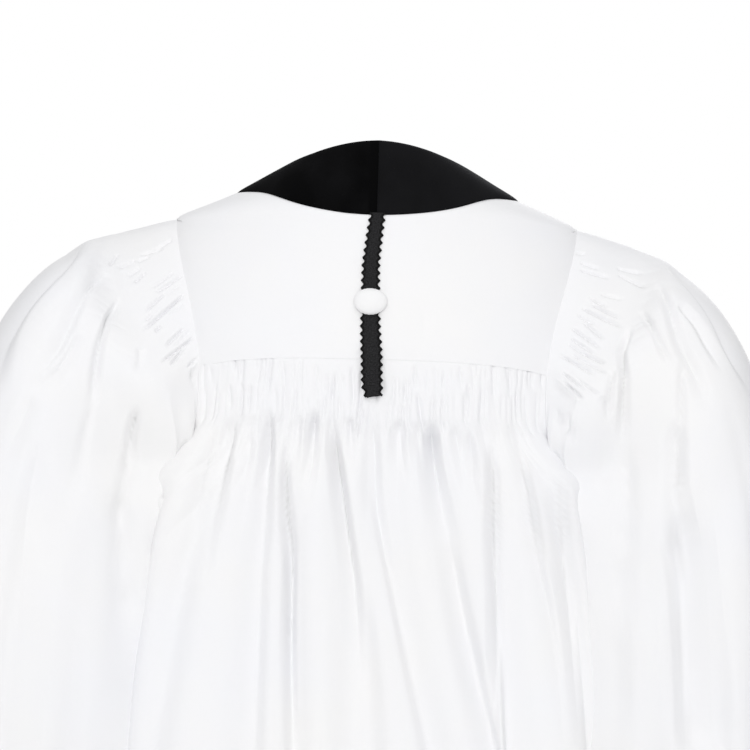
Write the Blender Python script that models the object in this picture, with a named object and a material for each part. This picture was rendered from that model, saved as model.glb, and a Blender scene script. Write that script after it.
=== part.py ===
"""Pulpit robe: white cloth body and full sleeves, fluted at the yoke and the sleeve heads,
with a black velvet band round the neck and down the front, a gimp braid and a domed button.

The robe's back faces -Y, its front faces +Y, the wearer's right hand is at +X and up is +Z.
The origin is the middle of the neck opening, level with the sides of the neck.
All sizes in the tables are millimetres. Turns are degrees round the body from the centre back.
"""
import math
from collections import namedtuple

import bmesh
import bpy
from mathutils import Vector

MM = 0.001

WALL = 2.0
VELVET_PROUD = 1.0
SEAM_GAP = 0.3
HALF_GAP = SEAM_GAP / 2

# The body: half widths and depths of level sections, with the squareness of their outline.
Section = namedtuple("Section", "height half_width back_depth front_depth squareness")
TORSO = (
    Section(-1420, 420, 285, 262, 2.20),
    Section(-1000, 322, 212, 195, 2.50),
    Section(-700, 250, 165, 152, 2.90),
    Section(-520, 240, 142, 135, 3.10),
    Section(-430, 236, 135, 130, 3.10),
    Section(-337, 228, 131, 126, 3.00),
    Section(-220, 228, 126, 117, 2.90),
    Section(-145, 227, 115, 106, 2.50),
    Section(-100, 225, 107, 97, 2.15),
    Section(-80, 222, 102, 92, 1.95),
    Section(-64, 215, 98, 86, 1.80),
    Section(-36, 149, 90, 73, 1.85),
    Section(4, 84, 66, 52, 2.00),
)

# Neck and velvet band.
NECK_HALF_WIDTH = 84
NECK_BACK_DEPTH = 66
NECK_SIDE_HEIGHT = 4
NAPE_RISE = 18
NAPE_ROUNDNESS = 1.8
V_POINT_HEIGHT = -130
BAND_TIP_X = 149
BAND_TIP_HEIGHT = -36
BAND_BACK_DROP = 21
BAND_BACK_SPREAD = 60
BAND_FRONT_WIDTH = 105
BAND_HEM_WIDTH = 118
BAND_CURVE = 0.8
HEM_HEIGHT = -1420
BAND_BACK_STEPS = 10
BAND_COLUMNS = 4
BAND_FRONT_SHARES = (0.04, 0.12, 0.25, 0.42, 0.6, 0.8)
BAND_LOW_HEIGHTS = (-250, -320, -414, -560, -680, -830, -1010, -1210, HEM_HEIGHT)

# Armhole, seen from behind: from the shoulder point round to the underarm, the same in front.
Station = namedtuple("Station", "x height")
ARMHOLE = (
    Station(215, -64),
    Station(213.5, -76),
    Station(210, -94),
    Station(204, -118),
    Station(196.5, -145),
    Station(190, -170),
    Station(185, -195),
    Station(181.5, -220),
    Station(181.5, -265),
    Station(187, -290),
    Station(197, -311),
    Station(210, -326),
    Station(221, -334),
    Station(228, -337),
)
UNDERARM = len(ARMHOLE) - 1
BACK_SEAM_STATION = 7
BACK_FLUTE_STATION = 8
FRONT_SEAM_STATION = 5
FRONT_FLUTE_STATION = 7
YOKE_SEAM_HEIGHT = -208
RIDGE_STEPS = 3
YOKE_COLUMNS = 10
FRONT_YOKE_COLUMNS = 6
FRONT_YOKE_CURVE = 1.5
YOKE_SEAM_BEND = 2
ROW_BEND = 3

# Flutes: narrow rounded pleats raised on the outer face only.
FLUTE_HEIGHT = 2.4
FLUTE_PROFILE = (0.0, 0.72, 1.0, 0.72)
FLUTE_START = 4
BACK_FLUTES = 48
FRONT_FLUTES = 14
SLEEVE_FLUTES_A_SIDE = 24

# Back panel rows: height at the centre back, then at the armhole points below the yoke seam.
BACK_ROW_MIDDLES = (-208, -262, -282, -318, -352, -384, -414)
ROW_LEVEL = 0.01
FRONT_ROW_MIDDLES = (-170, -196, -218, -250, -285, -320, -352, -384, -414)
SkirtRow = namedtuple("SkirtRow", "middle side")
SKIRT_ROWS = (
    SkirtRow(-470, -420),
    SkirtRow(-560, -520),
    SkirtRow(-680, -660),
    SkirtRow(-830, -820),
    SkirtRow(-1010, -1005),
    SkirtRow(-1210, -1208),
    SkirtRow(HEM_HEIGHT, HEM_HEIGHT),
)

# Folds that fall from the flutes: where each valley lies across the panel at the flutes' end, at
# the waist, and as a share of a quarter turn at the hem, with the depth of the valley.
Fold = namedtuple("Fold", "top_x waist_x hem_share depth")
FOLD_TOP_HEIGHT = -285
FOLD_WAIST_HEIGHT = -600
BACK_FOLDS = (
    Fold(-174, -222, -0.84, 9),
    Fold(-146, -178, -0.66, 12),
    Fold(-108, -116, -0.47, 11),
    Fold(-82, -70, -0.29, 12),
    Fold(-41, 6, -0.05, 14),
    Fold(2, 66, 0.15, 12),
    Fold(62, 112, 0.32, 15),
    Fold(120, 148, 0.49, 17),
    Fold(150, 186, 0.67, 14),
    Fold(175, 222, 0.85, 9),
)
FRONT_FOLDS = (
    Fold(128, 143, 0.43, 11),
    Fold(148, 174, 0.57, 14),
    Fold(164, 203, 0.72, 12),
    Fold(177, 226, 0.87, 9),
)
FOLD_STEPS = 4
FOLD_PROFILE = (-0.60, 0.15, 0.40, 0.15)
# How much of a fold's depth there is at each height.
FoldGrowth = namedtuple("FoldGrowth", "height growth")
FOLD_GROWTH = (
    FoldGrowth(-1420, 2.0),
    FoldGrowth(-1000, 1.6),
    FoldGrowth(-700, 1.2),
    FoldGrowth(-500, 1.0),
    FoldGrowth(-390, 0.75),
    FoldGrowth(-320, 0.4),
    FoldGrowth(-282, 0.12),
    FoldGrowth(-200, 0.0),
)
SIDE_CALM_FROM = 0.72
SIDE_CALM = 0.3
SIDE_CALM_HEIGHT = -760

# The sleeve head: steps from the armhole seam, round from the top (0) to the underarm (180).
HeadStep = namedtuple("HeadStep", "around out back down")
HEAD_FIRST_STEP = (
    HeadStep(0, 5.0, 0.0, 1.0),
    HeadStep(45, 4.5, 2.0, 1.5),
    HeadStep(90, 3.6, 2.6, 1.8),
    HeadStep(135, 5.0, 3.0, 3.0),
    HeadStep(180, 9.0, 0.0, 5.0),
)
HEAD_FLUTE_END = (
    HeadStep(0, 70, 0, 19),
    HeadStep(45, 66, 28, 28),
    HeadStep(90, 38, 34, 28),
    HeadStep(135, 16, 12, 44),
    HeadStep(180, 17, 0, 55),
)
HEAD_LINES = (0, 0.72, 1)
SLEEVE_HEAD_MIDDLE = Vector((260, 0, -220))
LEAST_MITRE = 0.35

# The sleeve below its head: rings with an outer and an inner point and a half depth.
Ring = namedtuple("Ring", "outer_x outer_height inner_x inner_height depth wrap growth")
SLEEVE_RINGS = (
    Ring(318, -98, 245.5, -405, 138, 30, 0.35),
    Ring(350, -122, 246, -430, 147, 33, 0.6),
    Ring(376, -156, 246, -452, 153, 36, 0.8),
    Ring(397, -200, 246, -476, 157, 37, 1.0),
    Ring(416, -258, 247, -506, 160, 38, 1.0),
    Ring(431, -335, 247, -540, 168, 38, 1.0),
    Ring(441, -430, 248, -576, 173, 39, 1.0),
    Ring(445, -530, 251, -614, 176, 41, 1.0),
    Ring(447, -618, 256, -648, 177, 43, 1.0),
    Ring(448, -700, 262, -682, 182, 44, 1.0),
)
RING_ROUNDNESS = 0.76
WRAP_SHARPNESS = 3.5
INNER_PINCH = 0.25
HEAD_FOLD_GROWTH = 0.15
SleeveFold = namedtuple("SleeveFold", "around depth")
SLEEVE_FOLDS = (
    SleeveFold(4, 6),
    SleeveFold(33, 10),
    SleeveFold(58, 16),
    SleeveFold(84, 14),
    SleeveFold(110, 15),
    SleeveFold(140, 9),
    SleeveFold(180, 4),
    SleeveFold(220, 9),
    SleeveFold(250, 15),
    SleeveFold(276, 14),
    SleeveFold(302, 15),
    SleeveFold(330, 9),
)

# Braid and button.
BraidPoint = namedtuple("BraidPoint", "height x")
BRAID_LINE = (
    BraidPoint(-247, 1.5),
    BraidPoint(-236, -0.2),
    BraidPoint(-205, -1.6),
    BraidPoint(-173, -3.6),
    BraidPoint(-115, -4.8),
    BraidPoint(-89, -2.8),
    BraidPoint(-58, 0.6),
)
BRAID_SCALLOPS = 24
BRAID_SCALLOP_PROFILE = (0.0, 0.85, 0.85)
BRAID_HALF_WIDTH = 8.2
BRAID_SCALLOP = 1.4
BRAID_THICKNESS = 2.0
BRAID_CLEAR = 0.3
BRAID_LIFT_FROM = -190
BRAID_LIFT_TO = -206
BUTTON_HEIGHT = -148.5
BUTTON_HALF_WIDTH = 17.5
BUTTON_HALF_TALL = 14.0
BUTTON_DOME = 8.0
BUTTON_SIDES = 28
DomeStep = namedtuple("DomeStep", "reach rise")
BUTTON_PROFILE = (
    DomeStep(0.90, 0.00),
    DomeStep(1.00, 0.16),
    DomeStep(0.96, 0.42),
    DomeStep(0.80, 0.72),
    DomeStep(0.48, 0.94),
)

# Finishes.
WHITE = (0.92, 0.92, 0.93)
VELVET_BLACK = (0.006, 0.006, 0.007)
BRAID_BLACK = (0.02, 0.02, 0.022)
CLOTH_ROUGHNESS = 0.6
VELVET_ROUGHNESS = 0.95
BRAID_ROUGHNESS = 0.9
BUTTON_ROUGHNESS = 0.45
SHARP_FROM = math.radians(50)

# How the shapes are measured: short steps for slopes, and what counts as no distance.
SLOPE_STEP = 0.5
ROUND_STEP = 0.012
TINY = 1e-6

Row = namedtuple("Row", "level outer inner")
Edge = namedtuple("Edge", "turn height outer inner")


def smooth_column(table, key, name):
    """A smooth curve through one column of a table whose key rises from row to row."""
    keys = [getattr(row, key) for row in table]
    values = [getattr(row, name) for row in table]
    spans = [b - a for a, b in zip(keys, keys[1:])]
    rises = [(b - a) / span for a, b, span in zip(values, values[1:], spans)]
    slopes = [rises[0]]
    for before, after in zip(rises, rises[1:]):
        slopes.append(0.0 if before * after <= 0 else 2 * before * after / (before + after))
    slopes.append(rises[-1])

    def curve(at):
        at = min(max(at, keys[0]), keys[-1])
        i = 0
        while i < len(spans) - 1 and at > keys[i + 1]:
            i += 1
        t = (at - keys[i]) / spans[i]
        start = (1 + 2 * t) * (1 - t) ** 2 * values[i] + t * (1 - t) ** 2 * spans[i] * slopes[i]
        end = t * t * (3 - 2 * t) * values[i + 1] - t * t * (1 - t) * spans[i] * slopes[i + 1]
        return start + end

    return curve


half_width = smooth_column(TORSO, "height", "half_width")
back_depth = smooth_column(TORSO, "height", "back_depth")
front_depth = smooth_column(TORSO, "height", "front_depth")
squareness = smooth_column(TORSO, "height", "squareness")
fold_growth = smooth_column(FOLD_GROWTH, "height", "growth")
braid_x = smooth_column(BRAID_LINE, "height", "x")
first_out = smooth_column(HEAD_FIRST_STEP, "around", "out")
first_back = smooth_column(HEAD_FIRST_STEP, "around", "back")
first_down = smooth_column(HEAD_FIRST_STEP, "around", "down")
flute_out = smooth_column(HEAD_FLUTE_END, "around", "out")
flute_back = smooth_column(HEAD_FLUTE_END, "around", "back")
flute_down = smooth_column(HEAD_FLUTE_END, "around", "down")


def mix(a, b, share):
    """The value or point at a share of the way from a to b."""
    return a * (1 - share) + b * share


def even(count):
    """Shares from 0 to 1 in equal steps."""
    return [i / count for i in range(count + 1)]


def mirrored(point):
    """The same point on the other side of the robe."""
    return Vector((-point.x, point.y, point.z))


def torso_point(turn, height, side=1):
    """A point of the body's outer face, at a turn from the centre back."""
    angle = math.radians(turn)
    power = 2 / squareness(height)
    depth = back_depth(height) if turn <= 90 else front_depth(height)
    x = side * half_width(height) * abs(math.sin(angle)) ** power
    y = depth * abs(math.cos(angle)) ** power
    return Vector((x, -y if turn <= 90 else y, height))


def torso_turn(x, height, front=False):
    """The turn at which the body's outline reaches a distance from the centre."""
    reach = min(abs(x) / half_width(height), 1)
    turn = math.degrees(math.asin(reach ** (squareness(height) / 2)))
    return 180 - turn if front else turn


def torso_normal(point):
    """The direction that points straight out of the body's face."""
    def reach(p):
        depth = back_depth(p.z) if p.y <= 0 else front_depth(p.z)
        power = squareness(p.z)
        return abs(p.x / half_width(p.z)) ** power + abs(p.y / depth) ** power

    moves = [Vector(axis) * SLOPE_STEP for axis in ((1, 0, 0), (0, 1, 0), (0, 0, 1))]
    normal = Vector([reach(point + move) - reach(point - move) for move in moves])
    if abs(point.x) < SLOPE_STEP:
        normal.x = 0
    if abs(point.y) < SLOPE_STEP:
        normal.y = 0
    return normal.normalized()


def head_point(along, around):
    """A point of the sleeve head: along is 0 beside the seam and 1 where the flutes end."""
    turn = 360 * min(around, 1 - around)
    toward_back = -1 if around <= 0.5 else 1
    first = Vector((first_out(turn), toward_back * first_back(turn), -first_down(turn)))
    last = Vector((flute_out(turn), toward_back * flute_back(turn), -flute_down(turn)))
    return armhole_curve(around) + first * (1 - along) + last * along


def armhole_base():
    """The armhole's points on the body's outer face, from the ridge down the back and up again."""
    back = [torso_point(torso_turn(s.x, s.height), s.height) for s in ARMHOLE]
    front = [torso_point(torso_turn(s.x, s.height, True), s.height) for s in ARMHOLE]
    front[0].y = back[0].y = 0
    front[UNDERARM].y = back[UNDERARM].y = 0
    return back + front[UNDERARM - 1:0:-1]


def armhole_shares(points):
    """How far round the armhole each of its points lies, from 0 to 1, even on back and front."""
    lengths = [(b - a).length for a, b in zip(points, points[1:] + points[:1])]
    back_length = sum(lengths[:UNDERARM])
    front_length = sum(lengths[UNDERARM:])
    shares = [0.0]
    for i, length in enumerate(lengths[:-1]):
        whole = back_length if i < UNDERARM else front_length
        shares.append(shares[-1] + 0.5 * length / whole)
    return shares


ARMHOLE_POINTS = armhole_base()
ARMHOLE_SHARES = armhole_shares(ARMHOLE_POINTS)


def armhole_curve(around):
    """The armhole's outline at a share of the way round it, straight between its points."""
    around = around % 1.0
    shares = ARMHOLE_SHARES + [1.0]
    points = ARMHOLE_POINTS + ARMHOLE_POINTS[:1]
    i = max(k for k in range(len(ARMHOLE_SHARES)) if shares[k] <= around + TINY)
    part = (around - shares[i]) / (shares[i + 1] - shares[i])
    return points[i].lerp(points[i + 1], part)


def armhole_pairs():
    """The mitred outer and inner points of the armhole seam, with the way towards the sleeve."""
    pairs = []
    count = len(ARMHOLE_POINTS)
    for i, point in enumerate(ARMHOLE_POINTS):
        along = (ARMHOLE_POINTS[(i + 1) % count] - ARMHOLE_POINTS[i - 1]).normalized()
        leaving = head_point(0, ARMHOLE_SHARES[i]) - point
        body = torso_normal(point)
        sleeve = along.cross(leaving).normalized()
        if sleeve.dot(point + leaving - SLEEVE_HEAD_MIDDLE) < 0:
            sleeve = -sleeve
        mitre = (body + sleeve) / max(1 + body.dot(sleeve), LEAST_MITRE)
        toward = along.cross(mitre).normalized()
        if toward.dot(leaving) < 0:
            toward = -toward
        pairs.append((point, point - mitre * WALL, toward * HALF_GAP))
    return pairs


ARMHOLE_PAIRS = armhole_pairs()


def armhole_edge(index, shift=Vector((0, 0, 0))):
    """A body panel's edge at one armhole point, drawn back by half the seam's gap."""
    outer, inner, toward = ARMHOLE_PAIRS[index % len(ARMHOLE_PAIRS)]
    height = outer.z
    turn = torso_turn(outer.x, height, outer.y > 0)
    return Edge(turn, height, outer - toward + shift, inner - toward + shift)


def torso_edge(turn, height, shift, proud=0.0):
    """A panel's edge on the body's face, drawn back from its seam."""
    point = torso_point(turn, height)
    normal = torso_normal(point)
    return Edge(turn, height, point + normal * proud + shift, point - normal * WALL + shift)


def band_back_height(turn):
    """Height of the velvet's lower edge across the back."""
    share = min(turn / BAND_BACK_SPREAD, 1)
    return BAND_TIP_HEIGHT - BAND_BACK_DROP * math.cos(share * math.pi / 2) ** 2


def neck_back_point(turn):
    """The neck's edge across the back."""
    angle = math.radians(turn)
    rise = NAPE_RISE * (1 - math.sin(angle) ** NAPE_ROUNDNESS)
    x = NECK_HALF_WIDTH * math.sin(angle)
    y = -NECK_BACK_DEPTH * math.cos(angle)
    return Vector((x, y, NECK_SIDE_HEIGHT + rise))


def band_front_x(height):
    """Half width of the velvet's outer edge in front."""
    if height > FRONT_ROW_MIDDLES[0]:
        share = (height - BAND_TIP_HEIGHT) / (FRONT_ROW_MIDDLES[0] - BAND_TIP_HEIGHT)
        return mix(BAND_TIP_X, BAND_FRONT_WIDTH, max(share, 0) ** BAND_CURVE)
    share = (height - FRONT_ROW_MIDDLES[0]) / (HEM_HEIGHT - FRONT_ROW_MIDDLES[0])
    return mix(BAND_FRONT_WIDTH, BAND_HEM_WIDTH, share)


def band_front_turn(height):
    """The turn of the velvet's outer edge in front."""
    return torso_turn(band_front_x(height), height, True)


def band_front_shift(height):
    """Half a seam's gap, away from the velvet and round the body, at its outer edge in front."""
    turn = band_front_turn(height)
    step = torso_point(turn - 1, height) - torso_point(turn, height)
    return step.normalized() * HALF_GAP


def band_back_shift(turn):
    """Half a seam's gap, away from the neck, at the velvet's lower edge across the back."""
    low = torso_point(turn, band_back_height(turn))
    return (low - neck_back_point(turn)).normalized() * HALF_GAP


def yoke_seam_height(share):
    """Height of the back yoke's lower seam, at a share of its half width."""
    return mix(YOKE_SEAM_HEIGHT, ARMHOLE[BACK_SEAM_STATION].height, abs(share) ** YOKE_SEAM_BEND)


def new_material(name, colour, roughness):
    """A plain cloth finish."""
    material = bpy.data.materials.new(name)
    material.use_nodes = True
    shader = material.node_tree.nodes["Principled BSDF"]
    shader.inputs["Base Color"].default_value = (*colour, 1)
    shader.inputs["Roughness"].default_value = roughness
    shader.inputs["Metallic"].default_value = 0
    return material


def add_object(name, bm, colour, roughness):
    """Turn a finished mesh into one named object with its own material."""
    bmesh.ops.recalc_face_normals(bm, faces=bm.faces)
    mesh = bpy.data.meshes.new(name)
    bm.to_mesh(mesh)
    bm.free()
    mesh.shade_smooth()
    mesh.set_sharp_from_angle(angle=SHARP_FROM)
    mesh.materials.append(new_material(name + "_finish", colour, roughness))
    piece = bpy.data.objects.new(name, mesh)
    bpy.context.collection.objects.link(piece)
    return piece


def place(bm, points):
    """Add a row of points, each kept with its share along the row."""
    return [(share, bm.verts.new(point * MM)) for share, point in points]


def stitch(bm, first, second):
    """Fill between two rows of points, column by column where they have as many."""
    if len(first) == len(second):
        first = [(column, vert) for column, (_share, vert) in enumerate(first)]
        second = [(column, vert) for column, (_share, vert) in enumerate(second)]
    i = 0
    j = 0
    while i < len(first) - 1 or j < len(second) - 1:
        step_first = j == len(second) - 1
        if not step_first and i < len(first) - 1:
            ahead_first = first[i][0] + first[i + 1][0]
            ahead_second = second[j][0] + second[j + 1][0]
            step_first = ahead_first <= ahead_second
        if step_first:
            corners = (first[i][1], first[i + 1][1], second[j][1])
            i += 1
        else:
            corners = (first[i][1], second[j + 1][1], second[j][1])
            j += 1
        if len(set(corners)) == 3:
            bm.faces.new(corners)


def cloth_wall(name, rows, colour, roughness, closed=False):
    """A sheet of cloth with a thickness, from rows of outer and inner points."""
    bm = bmesh.new()
    outer = [(row.level, place(bm, row.outer)) for row in rows]
    inner = [(row.level, place(bm, row.inner)) for row in rows if row.inner]
    if closed:
        for face_rows in (outer, inner):
            for _level, row in face_rows:
                row.append((1.0, row[0][1]))
    for face_rows in (outer, inner):
        for (_a, first), (_b, second) in zip(face_rows, face_rows[1:]):
            stitch(bm, first, second)
    for end in (0, -1):
        stitch(bm, outer[end][1], inner[end][1])
    if not closed:
        for end in (0, -1):
            outer_edge = [(level, row[end][1]) for level, row in outer]
            inner_edge = [(level, row[end][1]) for level, row in inner]
            stitch(bm, outer_edge, inner_edge)
    return add_object(name, bm, colour, roughness)


def mirror_rows(rows):
    """The same rows on the other side of the robe."""
    result = []
    for row in rows:
        outer = [(share, mirrored(point)) for share, point in row.outer]
        inner = row.inner and [(share, mirrored(point)) for share, point in row.inner]
        result.append(Row(row.level, outer, inner))
    return result


def fold_turn(fold, height, front):
    """The turn at which a fold's valley lies at a height."""
    top = torso_turn(fold.top_x, FOLD_TOP_HEIGHT)
    waist = torso_turn(fold.waist_x, FOLD_WAIST_HEIGHT)
    if height >= FOLD_WAIST_HEIGHT:
        fall = (height - FOLD_TOP_HEIGHT) / (FOLD_WAIST_HEIGHT - FOLD_TOP_HEIGHT)
        turn = mix(math.copysign(top, fold.top_x), math.copysign(waist, fold.waist_x), max(fall, 0))
    else:
        fall = (height - FOLD_WAIST_HEIGHT) / (HEM_HEIGHT - FOLD_WAIST_HEIGHT)
        turn = mix(math.copysign(waist, fold.waist_x), 90 * fold.hem_share, fall)
    return 180 - turn if front else turn


def divided(marks):
    """Shares that step evenly from each mark to the next."""
    shares = []
    for left, right in zip(marks, marks[1:]):
        shares += [mix(left, right, step / FOLD_STEPS) for step in range(FOLD_STEPS)]
    return shares + [marks[-1]]


def fold_lifts(folds):
    """How far each column stands out of or into the panel at full depth."""
    depths = [0] + [fold.depth for fold in folds] + [0]
    lifts = []
    for left, right in zip(depths, depths[1:]):
        for step, profile in enumerate(FOLD_PROFILE):
            lifts.append(profile * mix(left, right, step / FOLD_STEPS))
    return lifts + [0]


def side_calm(share, height):
    """Folds are shallow where the sleeve hangs against the body."""
    if abs(share) < SIDE_CALM_FROM or height < SIDE_CALM_HEIGHT:
        return 1.0
    return SIDE_CALM


def panel_pair(turn, height, side, lift, relief):
    """Outer and inner points of a body panel, moved out by a fold and a flute."""
    point = torso_point(turn, height, side)
    normal = torso_normal(point)
    return point + normal * (lift + relief), point + normal * (lift - WALL)


def even_turns(start, end, height, count):
    """Turns between two turns that are evenly spaced along the body's outline."""
    fine = [mix(start, end, share) for share in even(count * 4)]
    points = [torso_point(turn, height) for turn in fine]
    travelled = [0.0]
    for a, b in zip(points, points[1:]):
        travelled.append(travelled[-1] + (b - a).length)
    turns = []
    for share in even(count):
        goal = share * travelled[-1]
        i = next(k for k in range(1, len(fine)) if travelled[k] >= goal - TINY)
        part = (goal - travelled[i - 1]) / (travelled[i] - travelled[i - 1])
        turns.append(mix(fine[i - 1], fine[i], part))
    return turns


def flute_relief(step):
    """Height of the fluted face at one of its columns."""
    return FLUTE_HEIGHT * FLUTE_PROFILE[step % len(FLUTE_PROFILE)]


def back_row(level, middle, edge, columns, bend=ROW_BEND, drop=0.0):
    """One row of the back panel from its left edge to its right edge."""
    outer = []
    inner = []
    for share, lift, relief in columns:
        side = 1 if share >= 0 else -1
        if abs(share) > 1 - TINY:
            pair = (edge.outer, edge.inner)
            if side < 0:
                pair = (mirrored(edge.outer), mirrored(edge.inner))
        else:
            height = mix(middle, edge.height, abs(share) ** bend) - drop
            turn = abs(share) * edge.turn
            depth = lift * fold_growth(height) * side_calm(share, height)
            pair = panel_pair(turn, height, side, depth, relief)
        outer.append((share, pair[0]))
        inner.append((share, pair[1]))
    return Row(level, outer, inner)


def fluted_columns(edge_turn, height, flutes):
    """Columns across the whole back that follow the flutes."""
    steps = flutes * len(FLUTE_PROFILE)
    right = [turn / edge_turn for turn in even_turns(0, edge_turn, height, steps // 2)]
    shares = [-share for share in reversed(right[1:])] + right
    return [(share, 0, flute_relief(step)) for step, share in enumerate(shares)]


def back_panel_rows():
    """The full back below the yoke: flutes, then folds down to the hem."""
    rows = []
    top = BACK_ROW_MIDDLES[0]
    seam = armhole_edge(BACK_SEAM_STATION, Vector((0, 0, -HALF_GAP)))
    plain = [(share, 0, 0) for share in [2 * s - 1 for s in even(2 * YOKE_COLUMNS)]]
    rows.append(back_row(0.0, top, seam, plain, YOKE_SEAM_BEND, HALF_GAP))

    below = armhole_edge(BACK_FLUTE_STATION)
    part = FLUTE_START / (seam.height - below.height)
    start = Edge(
        mix(seam.turn, below.turn, part),
        seam.height - FLUTE_START,
        seam.outer.lerp(below.outer, part),
        seam.inner.lerp(below.inner, part),
    )
    fluted = fluted_columns(start.turn, start.height, BACK_FLUTES)
    first = back_row(ROW_LEVEL, top - FLUTE_START, start, fluted, YOKE_SEAM_BEND)
    rows.append(Row(first.level, first.outer, None))

    level = 2 * ROW_LEVEL
    flute_end = back_row(level, BACK_ROW_MIDDLES[1], below, fluted)
    flat = back_row(level, BACK_ROW_MIDDLES[1], below, plain)
    rows.append(Row(level, flute_end.outer, flat.inner))

    for step, middle in enumerate(BACK_ROW_MIDDLES[2:]):
        rows.append(back_fold_row(middle, armhole_edge(BACK_FLUTE_STATION + 1 + step)))
    for skirt in SKIRT_ROWS:
        side = torso_edge(90, skirt.side, Vector((0, -HALF_GAP, 0)))
        rows.append(back_fold_row(skirt.middle, side))
    return rows


def fall_level(middle):
    """The level of a folded row: those of the flutes come first, and the hem is 1."""
    fall = (middle - YOKE_SEAM_HEIGHT) / (HEM_HEIGHT - YOKE_SEAM_HEIGHT)
    return mix(3 * ROW_LEVEL, 1, fall)


def back_fold_row(middle, edge):
    """A row of the back panel whose columns follow the folds."""
    marks = [-1]
    for fold in BACK_FOLDS:
        share = fold_turn(fold, middle, False) / edge.turn
        height = mix(middle, edge.height, abs(share) ** ROW_BEND)
        marks.append(fold_turn(fold, height, False) / edge.turn)
    columns = zip(divided(marks + [1]), fold_lifts(BACK_FOLDS))
    return back_row(fall_level(middle), middle, edge, [(share, lift, 0) for share, lift in columns])


def front_fold_row(middle, edge):
    """A row of the front panel whose columns follow the folds."""
    band = band_front_turn(middle)
    marks = [0]
    for fold in FRONT_FOLDS:
        share = (fold_turn(fold, middle, True) - band) / (edge.turn - band)
        height = mix(middle, edge.height, share ** ROW_BEND)
        band_there = band_front_turn(height)
        marks.append((fold_turn(fold, height, True) - band_there) / (edge.turn - band_there))
    columns = zip(divided(marks + [1]), fold_lifts(FRONT_FOLDS))
    return front_row(fall_level(middle), middle, edge, [(share, lift, 0) for share, lift in columns])


def front_row(level, middle, edge, columns):
    """One row of the right front panel, from the velvet's edge out to the armhole or side."""
    outer = []
    inner = []
    band = torso_edge(band_front_turn(middle), middle, band_front_shift(middle))
    for share, lift, relief in columns:
        if share < TINY:
            pair = (band.outer, band.inner)
        elif share > 1 - TINY:
            pair = (edge.outer, edge.inner)
        else:
            height = mix(middle, edge.height, share ** ROW_BEND)
            turn = mix(band_front_turn(height), edge.turn, share)
            depth = lift * fold_growth(height) * side_calm(share, height)
            pair = panel_pair(turn, height, 1, depth, relief)
        outer.append((share, pair[0]))
        inner.append((share, pair[1]))
    return Row(level, outer, inner)


def front_station(index, shift=Vector((0, 0, 0))):
    """The armhole edge of a front piece at a point counted from the ridge."""
    return armhole_edge(len(ARMHOLE_PAIRS) - index, shift)


def shifted(row, shift):
    """A row moved as a whole."""
    outer = [(share, point + shift) for share, point in row.outer]
    inner = [(share, point + shift) for share, point in row.inner]
    return Row(row.level, outer, inner)


def front_panel_rows():
    """The right front: flutes under the front yoke, then folds down to the hem."""
    down = Vector((0, 0, -HALF_GAP))
    plain = [(share, 0, 0) for share in even(FRONT_YOKE_COLUMNS)]
    steps = FRONT_FLUTES * len(FLUTE_PROFILE)
    fluted = [(step / steps, 0, flute_relief(step)) for step in range(steps + 1)]
    top = FRONT_ROW_MIDDLES[0]
    seam = front_station(FRONT_SEAM_STATION)
    below = front_station(FRONT_SEAM_STATION + 1)
    part = FLUTE_START / (seam.height - below.height)
    start = Edge(
        mix(seam.turn, below.turn, part),
        seam.height - FLUTE_START,
        seam.outer.lerp(below.outer, part),
        seam.inner.lerp(below.inner, part),
    )
    rows = [shifted(front_row(0.0, top, seam, plain), down)]
    first = front_row(ROW_LEVEL, top - FLUTE_START, start, fluted)
    rows.append(Row(first.level, first.outer, None))
    for step in (1, 2):
        edge = front_station(FRONT_SEAM_STATION + step)
        middle = FRONT_ROW_MIDDLES[step]
        level = ROW_LEVEL * (1 + step)
        flutes = front_row(level, middle, edge, fluted)
        flat = front_row(level, middle, edge, plain)
        rows.append(Row(level, flutes.outer, flat.inner))
    for step, middle in enumerate(FRONT_ROW_MIDDLES[3:]):
        rows.append(front_fold_row(middle, front_station(FRONT_FLUTE_STATION + 1 + step)))
    for skirt in SKIRT_ROWS:
        side = torso_edge(90, skirt.side, Vector((0, HALF_GAP, 0)))
        rows.append(front_fold_row(skirt.middle, side))
    return rows


def patch_point(top, bottom, left, right, across, down):
    """A point inside four edges, each a list of turn and height pairs of equal counts."""
    columns = len(top) - 1
    rows = len(left) - 1
    u = across / columns
    v = down / rows
    result = []
    for part in (0, 1):
        edges = (1 - v) * top[across][part] + v * bottom[across][part]
        edges += (1 - u) * left[down][part] + u * right[down][part]
        corners = (1 - u) * (1 - v) * top[0][part] + u * (1 - v) * top[-1][part]
        corners += (1 - u) * v * bottom[0][part] + u * v * bottom[-1][part]
        result.append(edges - corners)
    return result


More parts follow.
